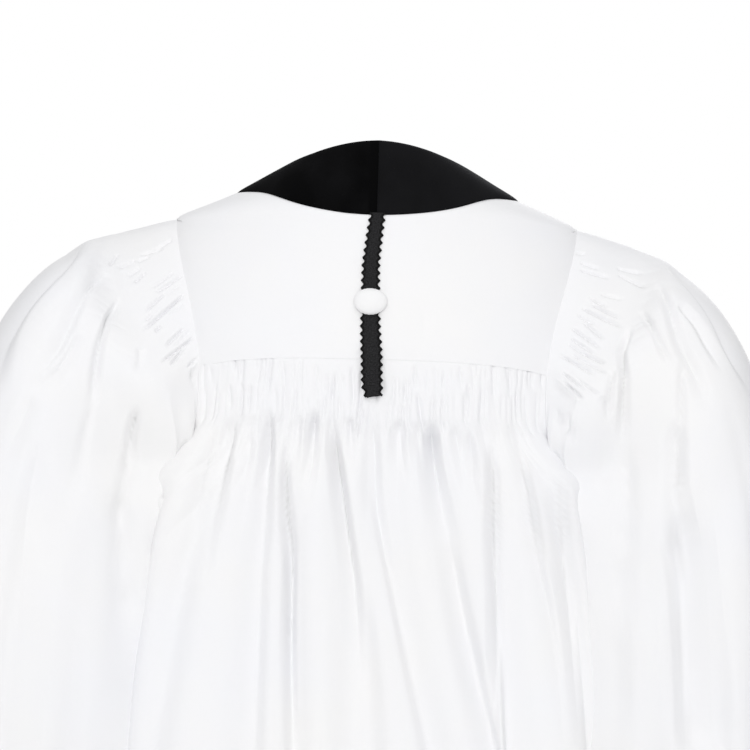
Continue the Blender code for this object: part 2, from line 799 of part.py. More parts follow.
def back_yoke_rows():
    """The smooth back yoke, from the velvet's edge and the shoulder ridges to the yoke seam."""
    ridge = [mix(BAND_TIP_HEIGHT, ARMHOLE[0].height, share) for share in even(RIDGE_STEPS)]
    stations = ARMHOLE[1:BACK_SEAM_STATION + 1]
    right = [(90, height) for height in ridge]
    right += [(torso_turn(s.x, s.height), s.height) for s in stations]
    count = len(right) - 1
    seam_turn = right[-1][0]
    collar_height = band_back_height(0)
    left = [(0, mix(collar_height, YOKE_SEAM_HEIGHT, share)) for share in even(count)]
    top = [(90 * share, band_back_height(90 * share)) for share in even(YOKE_COLUMNS)]
    bottom = [(seam_turn * share, yoke_seam_height(share)) for share in even(YOKE_COLUMNS)]

    rows = []
    for down in range(count + 1):
        half_outer = []
        half_inner = []
        for across in range(YOKE_COLUMNS + 1):
            turn, height = patch_point(top, bottom, left, right, across, down)
            outer, inner = panel_pair(turn, height, 1, 0, 0)
            shift = Vector((0, 0, 0))
            if across == YOKE_COLUMNS:
                if down > RIDGE_STEPS:
                    edge = armhole_edge(down - RIDGE_STEPS)
                    outer, inner = edge.outer, edge.inner
                elif down == RIDGE_STEPS:
                    edge = armhole_edge(0)
                    outer, inner = edge.outer, edge.inner
                if down <= RIDGE_STEPS:
                    shift.y = -HALF_GAP
            if down == 0:
                shift += band_back_shift(turn)
            if down == count:
                shift.z += HALF_GAP
            half_outer.append((across / YOKE_COLUMNS, outer + shift))
            half_inner.append((across / YOKE_COLUMNS, inner + shift))
        rows.append(Row(down / count, both_sides(half_outer), both_sides(half_inner)))
    return rows


def both_sides(half):
    """A row across the whole back from its right half."""
    left = [(-share, mirrored(point)) for share, point in reversed(half[1:])]
    return left + half


def front_yoke_rows():
    """The right front yoke, from the shoulder ridge to the front yoke seam."""
    right = [(torso_turn(s.x, s.height, True), s.height) for s in ARMHOLE[:FRONT_SEAM_STATION + 1]]
    right[0] = (90, ARMHOLE[0].height)
    count = len(right) - 1
    end = FRONT_ROW_MIDDLES[0]
    left = []
    for share in even(count):
        height = mix(BAND_TIP_HEIGHT, end, share ** FRONT_YOKE_CURVE)
        left.append((90 if share == 0 else band_front_turn(height), height))
    ridge = [mix(BAND_TIP_HEIGHT, ARMHOLE[0].height, share) for share in even(FRONT_YOKE_COLUMNS)]
    top = [(90, height) for height in ridge]
    bottom = [(mix(left[-1][0], right[-1][0], share), end) for share in even(FRONT_YOKE_COLUMNS)]

    rows = []
    for down in range(count + 1):
        outer_row = []
        inner_row = []
        for across in range(FRONT_YOKE_COLUMNS + 1):
            turn, height = patch_point(top, bottom, left, right, across, down)
            outer, inner = panel_pair(turn, height, 1, 0, 0)
            shift = Vector((0, 0, 0))
            if across == FRONT_YOKE_COLUMNS:
                edge = front_station(down)
                outer, inner = edge.outer, edge.inner
            if across == 0:
                shift += band_front_shift(height) if down else band_back_shift(90)
            if down == 0:
                shift.y += HALF_GAP
            if down == count:
                shift.z += HALF_GAP
            outer_row.append((across / FRONT_YOKE_COLUMNS, outer + shift))
            inner_row.append((across / FRONT_YOKE_COLUMNS, inner + shift))
        rows.append(Row(down / count, outer_row, inner_row))
    return rows


def band_lines():
    """Base points across the right velvet band, from the centre back over the ridge to the hem."""
    lines = []
    for step in range(BAND_BACK_STEPS + 1):
        turn = 90 * step / BAND_BACK_STEPS
        neck = neck_back_point(turn)
        low = torso_point(turn, band_back_height(turn))
        lines.append([neck.lerp(low, share) for share in even(BAND_COLUMNS)])
    for share in BAND_FRONT_SHARES:
        inner_height = mix(NECK_SIDE_HEIGHT, V_POINT_HEIGHT, share)
        outer_height = mix(BAND_TIP_HEIGHT, FRONT_ROW_MIDDLES[0], share)
        inner_x = NECK_HALF_WIDTH * (1 - share)
        lines.append(front_line(inner_x, inner_height, band_front_x(outer_height), outer_height))
    lines.append(front_line(0, V_POINT_HEIGHT, BAND_FRONT_WIDTH, FRONT_ROW_MIDDLES[0]))
    for height in BAND_LOW_HEIGHTS:
        lines.append(front_line(0, height, band_front_x(height), height))
    return lines


def front_line(inner_x, inner_height, outer_x, outer_height):
    """Base points across the velvet band in front."""
    line = []
    for share in even(BAND_COLUMNS):
        x = mix(inner_x, outer_x, share)
        height = mix(inner_height, outer_height, share)
        line.append(torso_point(torso_turn(x, height, True), height))
    return line


def line_normals(lines):
    """Directions out of a grid of points, from each point's neighbours."""
    normals = []
    for r, line in enumerate(lines):
        row = []
        before = lines[max(r - 1, 0)]
        after = lines[min(r + 1, len(lines) - 1)]
        for c in range(len(line)):
            along = after[c] - before[c]
            across = line[min(c + 1, len(line) - 1)] - line[max(c - 1, 0)]
            row.append(across.cross(along).normalized())
        normals.append(row)
    return normals


def velvet_rows():
    """The right velvet band: collar half, shoulder and front edge in one piece."""
    lines = band_lines()
    normals = line_normals(lines)
    rows = []
    for r, line in enumerate(lines):
        outer_row = []
        inner_row = []
        for c, point in enumerate(line):
            normal = normals[r][c]
            shift = Vector((0, 0, 0))
            at_centre = r == 0 or point.x < TINY
            if c == BAND_COLUMNS:
                normal = torso_normal(point)
                if r <= BAND_BACK_STEPS:
                    shift -= band_back_shift(90 * r / BAND_BACK_STEPS)
                else:
                    shift -= band_front_shift(point.z)
            if at_centre:
                normal = Vector((0, normal.y, normal.z)).normalized()
                shift.x += HALF_GAP
            outer_row.append((c / BAND_COLUMNS, point + normal * VELVET_PROUD + shift))
            inner_row.append((c / BAND_COLUMNS, point - normal * WALL + shift))
        rows.append(Row(r / (len(lines) - 1), outer_row, inner_row))
    return rows


def ring_point(ring, around):
    """A point of one ring of the sleeve below its head."""
    angle = 2 * math.pi * around
    cosine = math.cos(angle)
    sine = math.sin(angle)
    inward = (1 + math.copysign(abs(cosine) ** RING_ROUNDNESS, cosine)) / 2
    sideways = math.copysign(abs(sine) ** RING_ROUNDNESS, sine)
    wrap = ring.wrap * abs(2 * sine * cosine) ** WRAP_SHARPNESS if cosine < 0 else 0
    x = mix(ring.inner_x, ring.outer_x, inward) - wrap
    depth = ring.depth * sideways * (1 - INNER_PINCH * ((1 - cosine) / 2) ** 2)
    return Vector((x, -depth, mix(ring.inner_height, ring.outer_height, inward)))


def sleeve_line(index, around):
    """A point on one of the sleeve's lines: those of its head first, then one for each ring."""
    if index < len(HEAD_LINES):
        return head_point(HEAD_LINES[index], around)
    return ring_point(SLEEVE_RINGS[index - len(HEAD_LINES)], around)


def sleeve_normal(index, around):
    """The direction out of the sleeve at one of its lines."""
    last = len(HEAD_LINES) + len(SLEEVE_RINGS) - 1
    before = armhole_curve(around) if index == 0 else sleeve_line(index - 1, around)
    after = sleeve_line(min(index + 1, last), around)
    along = after - before
    ahead = sleeve_line(index, (around + ROUND_STEP) % 1)
    across = ahead - sleeve_line(index, (around - ROUND_STEP) % 1)
    normal = across.cross(along).normalized()
    outwards = sleeve_line(index, around) - sleeve_line(index, (around + 0.5) % 1)
    return normal if normal.dot(outwards) > 0 else -normal


def sleeve_pair(index, around, lift, relief):
    """Outer and inner points of the sleeve's wall."""
    point = sleeve_line(index, around)
    normal = sleeve_normal(index, around)
    return point + normal * (lift + relief), point + normal * (lift - WALL)


def sleeve_flute_columns():
    """Shares round the sleeve head that follow its flutes, with their relief."""
    steps = SLEEVE_FLUTES_A_SIDE * len(FLUTE_PROFILE)
    end = ARMHOLE_SHARES[BACK_SEAM_STATION]
    columns = [(end * step / steps, flute_relief(step)) for step in range(steps + 1)]
    plain = ARMHOLE_SHARES[BACK_SEAM_STATION + 1:len(ARMHOLE_SHARES) - BACK_SEAM_STATION]
    columns += [(share, 0.0) for share in plain]
    start = ARMHOLE_SHARES[-BACK_SEAM_STATION]
    columns += [(mix(start, 1, step / steps), flute_relief(step)) for step in range(steps)]
    return columns


def sleeve_fold_columns():
    """Shares round the sleeve that follow its folds, with how far each column stands out."""
    columns = []
    after = SLEEVE_FOLDS[1:] + (SleeveFold(SLEEVE_FOLDS[0].around + 360, SLEEVE_FOLDS[0].depth),)
    for left, right in zip(SLEEVE_FOLDS, after):
        for step, profile in enumerate(FOLD_PROFILE):
            around = mix(left.around, right.around, step / FOLD_STEPS) / 360
            depth = mix(left.depth, right.depth, step / FOLD_STEPS)
            columns.append((around, profile * depth))
    return [column if column[0] < 1 else (column[0] - 1, column[1]) for column in columns]


def sleeve_rows():
    """The right sleeve, from the armhole seam to the cuff."""
    seam_outer = []
    seam_inner = []
    for share, (outer, inner, toward) in zip(ARMHOLE_SHARES, ARMHOLE_PAIRS):
        seam_outer.append((share, outer + toward))
        seam_inner.append((share, inner + toward))
    rows = [Row(0.0, seam_outer, seam_inner)]
    for index in (0, 1):
        outer = []
        for share, relief in sleeve_flute_columns():
            outer.append((share, sleeve_pair(index, share, 0, relief)[0]))
        inner = [(share, sleeve_pair(index, share, 0, 0)[1]) for share in ARMHOLE_SHARES]
        rows.append(Row(ROW_LEVEL * (1 + index), outer, inner))
    columns = sorted(sleeve_fold_columns())
    growths = [HEAD_FOLD_GROWTH] + [ring.growth for ring in SLEEVE_RINGS]
    for step, growth in enumerate(growths):
        outer = []
        inner = []
        for share, lift in columns:
            pair = sleeve_pair(2 + step, share, lift * growth, 0)
            outer.append((share, pair[0]))
            inner.append((share, pair[1]))
        rows.append(Row((1 + step) / len(growths), outer, inner))
    return rows


def braid_offset(height):
    """How far the braid's underside lies off the yoke, and off the flutes at its end."""
    share = (height - BRAID_LIFT_FROM) / (BRAID_LIFT_TO - BRAID_LIFT_FROM)
    return BRAID_CLEAR + FLUTE_HEIGHT * min(max(share, 0), 1)


def braid_rows():
    """The gimp braid: a flat strip with scalloped edges, laid on the yoke."""
    rows = []
    start = band_back_height(0) - SEAM_GAP
    end = BRAID_LINE[0].height
    steps = BRAID_SCALLOPS * len(BRAID_SCALLOP_PROFILE)
    for step in range(steps + 1):
        height = mix(start, end, step / steps)
        bump = BRAID_SCALLOP_PROFILE[step % len(BRAID_SCALLOP_PROFILE)]
        half = BRAID_HALF_WIDTH + BRAID_SCALLOP * bump
        outer = []
        inner = []
        for share in (-1, 0, 1):
            x = braid_x(height) + share * half
            side = 1 if x >= 0 else -1
            point = torso_point(torso_turn(x, height), height, side)
            normal = torso_normal(point)
            base = point + normal * braid_offset(height)
            outer.append((share, base + normal * BRAID_THICKNESS))
            if share:
                inner.append((share, base))
        rows.append(Row(step / steps, outer, inner))
    return rows


def button():
    """The covered button: an oval dome that stands on the braid."""
    centre_x = braid_x(BUTTON_HEIGHT)
    point = torso_point(torso_turn(centre_x, BUTTON_HEIGHT), BUTTON_HEIGHT, -1)
    normal = torso_normal(point)
    base = point + normal * (2 * BRAID_CLEAR + BRAID_THICKNESS)
    sideways = Vector((1, 0, 0))
    upward = normal.cross(sideways).normalized()
    if upward.z < 0:
        upward = -upward
    bm = bmesh.new()
    rings = []
    for step in BUTTON_PROFILE:
        ring = []
        lifted = base + normal * BUTTON_DOME * step.rise
        for i in range(BUTTON_SIDES):
            angle = 2 * math.pi * i / BUTTON_SIDES
            across = sideways * (math.cos(angle) * BUTTON_HALF_WIDTH * step.reach)
            tall = upward * (math.sin(angle) * BUTTON_HALF_TALL * step.reach)
            ring.append(bm.verts.new((lifted + across + tall) * MM))
        rings.append(ring)
    for low, high in zip(rings, rings[1:]):
        for i in range(BUTTON_SIDES):
            j = (i + 1) % BUTTON_SIDES
            bm.faces.new((low[i], low[j], high[j], high[i]))
    bm.faces.new(rings[0])
    crown = bm.verts.new((base + normal * BUTTON_DOME) * MM)
    for i in range(BUTTON_SIDES):
        bm.faces.new((rings[-1][i], rings[-1][(i + 1) % BUTTON_SIDES], crown))
    return add_object("hood_button", bm, WHITE, BUTTON_ROUGHNESS)


def clear_scene():
    """Start from an empty scene."""
    for item in list(bpy.data.objects):
        bpy.data.objects.remove(item, do_unlink=True)


def build():
    """Make every piece of the robe."""
    clear_scene()
    cloth_wall("back_yoke", back_yoke_rows(), WHITE, CLOTH_ROUGHNESS)
    cloth_wall("back_panel", back_panel_rows(), WHITE, CLOTH_ROUGHNESS)
    sided = (
        ("front_yoke", front_yoke_rows(), WHITE, CLOTH_ROUGHNESS, False),
        ("front_panel", front_panel_rows(), WHITE, CLOTH_ROUGHNESS, False),
        ("sleeve", sleeve_rows(), WHITE, CLOTH_ROUGHNESS, True),
        ("velvet_band", velvet_rows(), VELVET_BLACK, VELVET_ROUGHNESS, False),
    )
    for name, rows, colour, roughness, closed in sided:
        cloth_wall(name + "_right", rows, colour, roughness, closed)
        cloth_wall(name + "_left", mirror_rows(rows), colour, roughness, closed)
    cloth_wall("hood_braid", braid_rows(), BRAID_BLACK, BRAID_ROUGHNESS)
    button()


build()
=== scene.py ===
"""Pulpit robe, dressed: fluted white cloth, black velvet band, gimp braid and covered button.

The robe's back faces -Y, its front faces +Y, the wearer's right is at +X and up is +Z.
Tables of points are in millimetres, as a pattern cutter writes them. Everything else is in metres.
"""
import math
from collections import namedtuple

import bmesh
import bpy
import numpy as np
from mathutils import Matrix, Vector


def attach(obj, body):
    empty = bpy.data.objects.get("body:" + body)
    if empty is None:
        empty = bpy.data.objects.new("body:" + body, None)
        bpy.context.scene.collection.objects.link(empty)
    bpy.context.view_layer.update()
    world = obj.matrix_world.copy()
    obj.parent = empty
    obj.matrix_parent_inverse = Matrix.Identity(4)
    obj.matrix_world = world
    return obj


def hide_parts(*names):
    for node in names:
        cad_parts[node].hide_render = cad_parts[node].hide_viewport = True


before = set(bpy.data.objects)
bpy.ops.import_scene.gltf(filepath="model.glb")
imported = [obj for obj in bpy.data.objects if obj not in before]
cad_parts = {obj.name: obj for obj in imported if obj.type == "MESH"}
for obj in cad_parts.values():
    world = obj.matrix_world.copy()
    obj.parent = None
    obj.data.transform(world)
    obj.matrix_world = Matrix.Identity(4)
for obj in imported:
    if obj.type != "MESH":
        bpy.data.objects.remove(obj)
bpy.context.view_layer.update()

bl_info = {
    "name": "Pulpit robe",
    "version": (1, 0, 0),
    "blender": (4, 5, 0),
    "location": "3D View > Sidebar > Pulpit robe",
    "description": "Dresses the pulpit robe piece by piece",
    "category": "Object",
}

MM = 0.001


def table(kind, rows):
    """Rows of numbers with named columns."""
    return [kind(*row) for row in rows]


# The body: half widths and depths of level sections, with the squareness of their outline.
Section = namedtuple("Section", "height half_width back_depth front_depth squareness")
TORSO = table(Section, (
    (-1420, 420, 285, 262, 2.20),
    (-1000, 322, 212, 195, 2.50),
    (-700, 250, 165, 152, 2.90),
    (-520, 240, 142, 135, 3.10),
    (-430, 236, 135, 130, 3.10),
    (-337, 228, 131, 126, 3.00),
    (-220, 228, 126, 117, 2.90),
    (-145, 227, 115, 106, 2.50),
    (-100, 225, 107, 97, 2.15),
    (-80, 222, 102, 92, 1.95),
    (-64, 215, 98, 86, 1.80),
    (-36, 149, 90, 73, 1.85),
    (4, 84, 66, 52, 2.00),
))

# Neck, velvet band, ridge and seams. A roundness, curve or bend is a power, the rest is in millimetres.
NECK_HALF_WIDTH = 84
NECK_BACK_DEPTH = 66
NECK_SIDE_HEIGHT = 4
NAPE_RISE = 18
NAPE_ROUNDNESS = 1.8
V_POINT_HEIGHT = -130
BAND_TIP_X = 149
BAND_TIP_HEIGHT = -37.5
SHOULDER_RISE = 3.5
SHOULDER_RISE_X = 142
SHOULDER_RISE_SPREAD = 38
BAND_BACK_DROP = 21
BAND_BACK_SPREAD = 60
BAND_FRONT_WIDTH = 105
BAND_HEM_WIDTH = 118
BAND_CURVE = 0.8
HEM_HEIGHT = -1420
YOKE_SEAM_HEIGHT = -208
FRONT_SEAM_HEIGHT = -170
FRONT_YOKE_CURVE = 1.5
ROW_BEND = 3
YOKE_SEAM_BEND = 2
# Steps down the edge of the back yoke, and how many of them lie along the shoulder ridge.
YOKE_STEPS = 10
RIDGE_STEPS = 3

# Extra grid rows that carry the hem's stitching, as shares of the last row's height above the hem,
# and each line of stitching: how far it lies above its edge, its width and its depth.
HEM_STITCH_ROWS = (0.18, 0.168, 0.156)
Stitch = namedtuple("Stitch", "above width depth")
HEM_STITCH = Stitch(35, 1.5, 0.5)
CUFF_STITCH = Stitch(28, 2.5, 0.4)

# Where each band of pleats starts and ends below its seam, how far the pleats stand out, the
# length over which they fade at their ends, and their number.
BACK_PLEAT_BANDS = ((6, 40), (34, 76))
FRONT_PLEAT_BANDS = ((4, 30), (24, 56))
PLEAT_HEIGHT = 2.1
PLEAT_FADE = 9
BACK_PLEATS = 56
FRONT_PLEATS = 13
# How far a seam laps the piece beside it, and what it holds back for its turned edge.
LAP_REACH = 1.2
LAP_HOLD = 0.2
# The edges of a grid of points: the axis that each ends, and which end.
EDGES = {"top": (0, 0), "bottom": (0, -1), "left": (1, 0), "right": (1, -1)}

# Armhole, seen from behind, from the shoulder point round to the underarm.
Station = namedtuple("Station", "x height")
ARMHOLE = table(Station, (
    (215, -64), (213.5, -76), (210, -94), (204, -118), (196.5, -145), (190, -170), (185, -195),
    (181.5, -220), (181.5, -265), (187, -290), (197, -311), (210, -326), (221, -334), (228, -337),
))
UNDERARM = len(ARMHOLE) - 1
BACK_SEAM_STATION = 7
FRONT_SEAM_STATION = 5

# Rows of the panels: height at the middle, and the armhole station or side height at the edge.
PanelRow = namedtuple("PanelRow", "middle station side")
SKIRT_ROWS = (
    (-352, 11, -326), (-384, 12, -334), (-414, 13, -337), (-470, 13, -420), (-560, 13, -520),
    (-680, 13, -660), (-830, 13, -820), (-1010, 13, -1005), (-1210, 13, -1208), (-1420, 13, -1420),
)
BACK_ROWS = table(PanelRow, (
    (-208, 7, -220), (-262, 8, -265), (-282, 9, -290), (-318, 10, -311), *SKIRT_ROWS,
))
FRONT_ROWS = table(PanelRow, (
    (-170, 5, -170), (-196, 6, -195), (-218, 7, -220), (-250, 8, -265), (-285, 9, -290),
    (-320, 10, -311), *SKIRT_ROWS,
))

# Valleys between the folds: their distance from the middle at four heights, their place at the
# hem as a share of a quarter turn, their depth, and their two widths as shares of the fold
# beside them.
Valley = namedtuple("Valley", "x285 x350 x450 x610 hem depth left right")
BACK_VALLEYS = table(Valley, (
    (-174, -186, -206, -222, -0.84, 8, 0.24, 0.24),
    (-143, -152, -168, -184, -0.66, 10, 0.34, 0.18),
    (-106, -104, -107, -108, -0.45, 9, 0.26, 0.22),
    (-88, -84, -77, -70, -0.29, 9, 0.16, 0.30),
    (-41, -27, -12, 5, -0.05, 10, 0.26, 0.16),
    (2, 8, 28, 69, 0.15, 9, 0.18, 0.28),
    (64, 74, 93, 132, 0.34, 10, 0.30, 0.2),
    (126, 129, 134, 139, 0.49, 11, 0.16, 0.26),
    (151, 166, 186, 206, 0.67, 11, 0.28, 0.18),
    (175, 190, 208, 223, 0.85, 8, 0.24, 0.24),
))
FRONT_VALLEYS = table(Valley, (
    (128, 131, 136, 143, 0.43, 10, 0.18, 0.26),
    (148, 154, 163, 174, 0.57, 11, 0.26, 0.18),
    (164, 173, 187, 203, 0.72, 11, 0.18, 0.26),
    (177, 188, 206, 226, 0.87, 8, 0.24, 0.24),
))
VALLEY_HEIGHTS = (-285, -350, -450, -610)
FoldGrowth = namedtuple("FoldGrowth", "height growth")
FOLD_GROWTH = table(FoldGrowth, (
    (-1420, 2.0), (-1000, 1.6), (-700, 1.2), (-500, 1.0), (-390, 0.75), (-320, 0.45), (-282, 0.15),
    (-200, 0.0),
))

# The sleeve head: steps from the armhole seam, round from the top (0) to the underarm (180).
HeadStep = namedtuple("HeadStep", "around out back down")
HEAD_FIRST_STEP = table(HeadStep, (
    (0, 5.0, 0.0, 1.0), (45, 4.5, 2.0, 1.5), (90, 3.6, 2.6, 1.8), (135, 5.0, 3.0, 3.0),
    (180, 9.0, 0.0, 5.0),
))
HEAD_FLUTE_END = table(HeadStep, (
    (0, 70, 0, 19), (45, 66, 28, 28), (90, 38, 34, 28), (135, 16, 12, 44), (180, 17, 0, 55),
))
# Lines of the head between those two steps, as shares of the way.
HEAD_LINES = (0, 0.72, 1)

# The sleeve below its head: rings with an outer and an inner point and a half depth.
Ring = namedtuple("Ring", "outer_x outer_height inner_x inner_height depth wrap growth")
SLEEVE_RINGS = table(Ring, (
    (318, -98, 245.5, -405, 138, 30, 0),
    (350, -122, 246, -430, 147, 33, 0),
    (376, -156, 246, -452, 153, 36, 0),
    (397, -200, 246, -476, 157, 37, 0.05),
    (416, -258, 247, -506, 160, 38, 0.1),
    (431, -335, 247, -540, 168, 38, 0.15),
    (441, -430, 248, -576, 173, 39, 0.25),
    (445, -530, 251, -614, 176, 41, 0.35),
    (447, -618, 256, -648, 177, 43, 0.5),
    (448, -700, 262, -682, 182, 44, 0.6),
))

# Where the sleeve lies along the body below the underarm: the body's sides are fuller and squarer
# there with calmer folds, and the sleeve's inner corners lap and wrap round them.
CLOSE_FIT = 1.0
UNDERARM_HEIGHT = -337
SIDE_FULLNESS = 0.95
SIDE_SQUARENESS = 12.0
SIDE_CALM = 0.88
CORNER_SHARE = 0.9
CORNER_LAP = 16
CORNER_FLAP = 22
CORNER_WRAP = 0.025
CORNER_FLAP_HEIGHT = -360
CORNER_FLAP_SPREAD = 45
CORNER_LOW_SHARE = 0.8
CORNER_RUN = 36
CORNER_RISE = 0.93

# The outline of a ring: a power, another for where it wraps the body, and how far it narrows inwards.
RING_ROUNDNESS = 0.76
WRAP_SHARPNESS = 3.5
INNER_PINCH = 0.25

# Valleys of the broad sleeve folds: degrees round from the top, and depth.
SleeveFold = namedtuple("SleeveFold", "around depth")
SLEEVE_FOLDS = table(SleeveFold, (
    (4, 6), (33, 10), (58, 16), (84, 14), (110, 15), (140, 9), (180, 4), (220, 9), (250, 15),
    (276, 14), (302, 15), (330, 9),
))
# How strongly the tables' pleats and creases are pressed in.
SLEEVE_PLEAT_STRENGTH = 1.3
BACK_CREASE_STRENGTH = 1.35
# The swelling of the back of the sleeve at the underarm: its height, spread and depth.
UNDERARM_SWELL_HEIGHT = -298
UNDERARM_SWELL_SPREAD = 32
UNDERARM_SWELL = 9
# How far the sleeve's head is turned in under the yoke and the panels, sideways and inwards.
HEAD_TURN_SIDE = 2.5
HEAD_TURN_IN = 1.8
# Grid rows between one line of the sleeve and the next.
SLEEVE_STEPS = (3, 42, 12, 30, 6, 6, 6, 7, 7, 7, 6, 6, 5)

# Creases seen from behind: points along each, its depth, how far it reaches to each side, and
# the share of its length over which it fades out.
Crease = namedtuple("Crease", "line depth left right fade")
LEFT_SLEEVE_CREASES = table(Crease, (
    (((-307, -93), (-321, -115), (-340, -142), (-364, -176), (-376, -203), (-386, -267)), 11, 16, 8, 0.4),
    (((-279, -127), (-296, -141), (-307, -165), (-319, -197), (-332, -221), (-345, -239)), 7, 9, 5, 0.3),
    (((-304, -187), (-318, -219), (-334, -237), (-359, -246)), 5, 4, 9, 0.4),
    (((-267, -151), (-277, -180), (-284, -209), (-287, -244), (-289, -271)), 9, 3.5, 4.5, 0.3),
    (((-289, -262), (-294, -293), (-300, -331), (-310, -369)), 4, 5, 5, 0.4),
    (((-240, -262), (-249, -293), (-251, -324), (-255, -363), (-250, -400)), 9, 4, 6, 0.3),
    (((-242, -203), (-241, -217), (-243, -236)), 3, 4, 6, 0.4),
    (((-348, -257), (-368, -304), (-383, -336)), 4, 10, 14, 0.5),
    (((-340, -300), (-348, -360), (-352, -440), (-356, -560)), 4, 12, 16, 0.5),
    (((-258, -350), (-252, -400), (-248, -460), (-247, -540)), 12, 16, 9, 0.4),
))
RIGHT_SLEEVE_CREASES = table(Crease, (
    (((306, -98), (319, -112), (337, -134), (353, -159), (369, -193), (397, -243)), 9, 4, 10, 0.4),
    (((296, -115), (307, -148), (318, -185), (331, -210), (340, -235), (343, -250)), 9, 7, 6, 0.3),
    (((314, -142), (333, -165), (346, -189), (359, -212)), 6, 3, 6, 0.4),
    (((277, -149), (290, -171), (301, -195), (309, -210)), 6, 4, 4, 0.3),
    (((319, -200), (318, -235), (318, -268), (321, -296)), 5, 3, 4, 0.4),
    (((312, -262), (314, -327), (320, -373), (316, -411)), 12, 9, 10, 0.3),
    (((269, -166), (257, -197), (260, -222), (261, -262), (263, -290)), 10, 4, 4, 0.25),
    (((263, -280), (266, -350), (263, -430), (261, -505), (262, -620)), 7, 7, 10, 0.2),
    (((249, -212), (246, -237), (246, -268)), 5, 4, 3, 0.4),
    (((235, -241), (241, -248), (247, -262)), 3, 3, 3, 0.4),
    (((317, -350), (320, -458), (326, -537), (336, -620)), 20, 7, 30, 0.15),
))

# The pleats that show at the sleeve heads, from one end of each to the other.
Pleat = namedtuple("Pleat", "x0 height0 x1 height1 depth")
LEFT_PLEATS = table(Pleat, (
    (-274, -107, -282, -120, 3), (-254, -111, -273, -122, 3), (-225, -97, -251, -106, 2),
    (-239, -106, -253, -113, 2), (-248, -119, -261, -130, 2), (-243, -124, -254, -136, 3),
    (-217, -87, -238, -102, 2), (-213, -123, -235, -141, 2), (-202, -125, -231, -146, 3),
    (-205, -136, -221, -149, 1), (-220, -146, -240, -166, 3), (-199, -145, -241, -187, 4),
    (-232, -168, -238, -176, 2), (-222, -181, -228, -187, 3), (-199, -155, -215, -169, 1),
    (-198, -182, -217, -203, 3), (-187, -191, -219, -219, 4), (-195, -200, -210, -222, 4),
    (-179, -209, -193, -224, 3), (-181, -218, -190, -235, 4), (-183, -231, -189, -243, 4),
    (-192, -183, -206, -202, 1),
))
RIGHT_PLEATS = table(Pleat, (
    (212, -91, 223, -90, 2), (217, -100, 238, -107, 2), (216, -108, 248, -116, 3),
    (255, -105, 285, -112, 2), (257, -112, 286, -127, 3), (226, -138, 245, -148, 3),
    (237, -134, 262, -139, 2), (228, -145, 258, -159, 4), (217, -149, 260, -169, 4),
    (213, -157, 231, -166, 3), (219, -164, 240, -182, 3), (206, -170, 237, -192, 3),
    (205, -181, 231, -198, 3), (203, -187, 220, -200, 2), (194, -199, 232, -220, 3),
    (216, -196, 241, -207, 4), (205, -198, 247, -220, 2), (196, -217, 219, -235, 3),
    (198, -227, 218, -245, 4), (211, -223, 236, -242, 2), (185, -226, 212, -251, 3),
    (188, -259, 219, -288, 3), (201, -273, 211, -286, 3), (192, -262, 213, -271, 2),
))
SLEEVE_CREASES = (RIGHT_SLEEVE_CREASES, LEFT_SLEEVE_CREASES)
SLEEVE_PLEATS = (RIGHT_PLEATS, LEFT_PLEATS)

# How far a pleat reaches to each side at the back and in front, and how far each sleeve's head is
# puffed out.
PLEAT_REACH = 1.7
FRONT_PLEAT_REACH = 3.2
LEFT_PUFF = 11
RIGHT_PUFF = 4

BACK_CREASES = table(Crease, (
    (((-143, -272), (-149, -330), (-158, -388), (-167, -446)), 9, 17, 4.5, 0.8),
    (((-106, -262), (-104, -313), (-104, -371), (-107, -428)), 11, 10, 4.5, 0.8),
    (((-88, -296), (-84, -359), (-77, -417), (-76, -496), (-70, -622)), 8, 8, 3.5, 0.4),
    (((-58, -262), (-59, -306), (-64, -352)), 9, 8, 4.5, 0.7),
    (((-41, -262), (-31, -326), (-22, -379), (-12, -442), (-3, -546)), 12, 10, 4.5, 0.8),
    (((1, -268), (5, -304), (7, -346), (18, -414), (36, -482)), 6, 15, 5.5, 0.7),
    (((63, -270), (67, -313), (75, -355), (84, -398)), 17, 13, 6.5, 0.8),
    (((84, -390), (104, -480), (125, -553), (145, -616)), 4, 15, 6.5, 0.4),
    (((126, -284), (129, -333), (130, -385), (136, -490), (137, -616)), 9, 8, 4.5, 0.4),
    (((151, -284), (169, -363), (179, -420), (194, -488), (208, -614)), 8, 23, 4.5, 0.7),
    (((197, -300), (201, -373), (215, -488), (224, -613)), 5, 11, 4.5, 0.6),
    (((231, -309), (226, -330), (246, -377)), 3, 10, 5.5, 0.5),
    (((30, -270), (33, -306), (40, -340)), 6, 11, 4.5, 0.8),
    (((104, -280), (108, -330), (117, -380)), 6, 13, 4.5, 0.8),
    (((-124, -286), (-127, -340), (-130, -390)), 4, 10, 5.5, 0.8),
    (((-164, -278), (-170, -330), (-180, -400)), 6, 11, 5.5, 0.8),
    (((-22, -268), (-18, -300), (-12, -330)), 5, 10, 4.5, 0.8),
    (((48, -272), (50, -300), (56, -330)), 4, 8, 3.5, 0.8),
    (((88, -276), (92, -306), (98, -340)), 4, 8, 3.5, 0.8),
    (((-74, -268), (-75, -300), (-77, -330)), 4, 8, 3.5, 0.8),
))
FRONT_CREASES = table(Crease, (
    (((128, -252), (131, -330), (136, -440), (143, -600)), 8, 4, 7, 0.6),
    (((147, -250), (154, -340), (163, -450), (174, -610)), 9, 6, 5, 0.7),
    (((164, -262), (173, -350), (187, -450), (203, -610)), 6, 4, 9, 0.6),
    (((138, -246), (141, -280), (147, -330)), 5, 4, 6, 0.7),
    (((115, -240), (117, -290), (119, -360)), 4, 4, 5, 0.7),
))
YOKE_CREASES = table(Crease, (
    (((49, -146), (51, -175), (50, -200)), 0.8, 6, 9, 0.5),
))

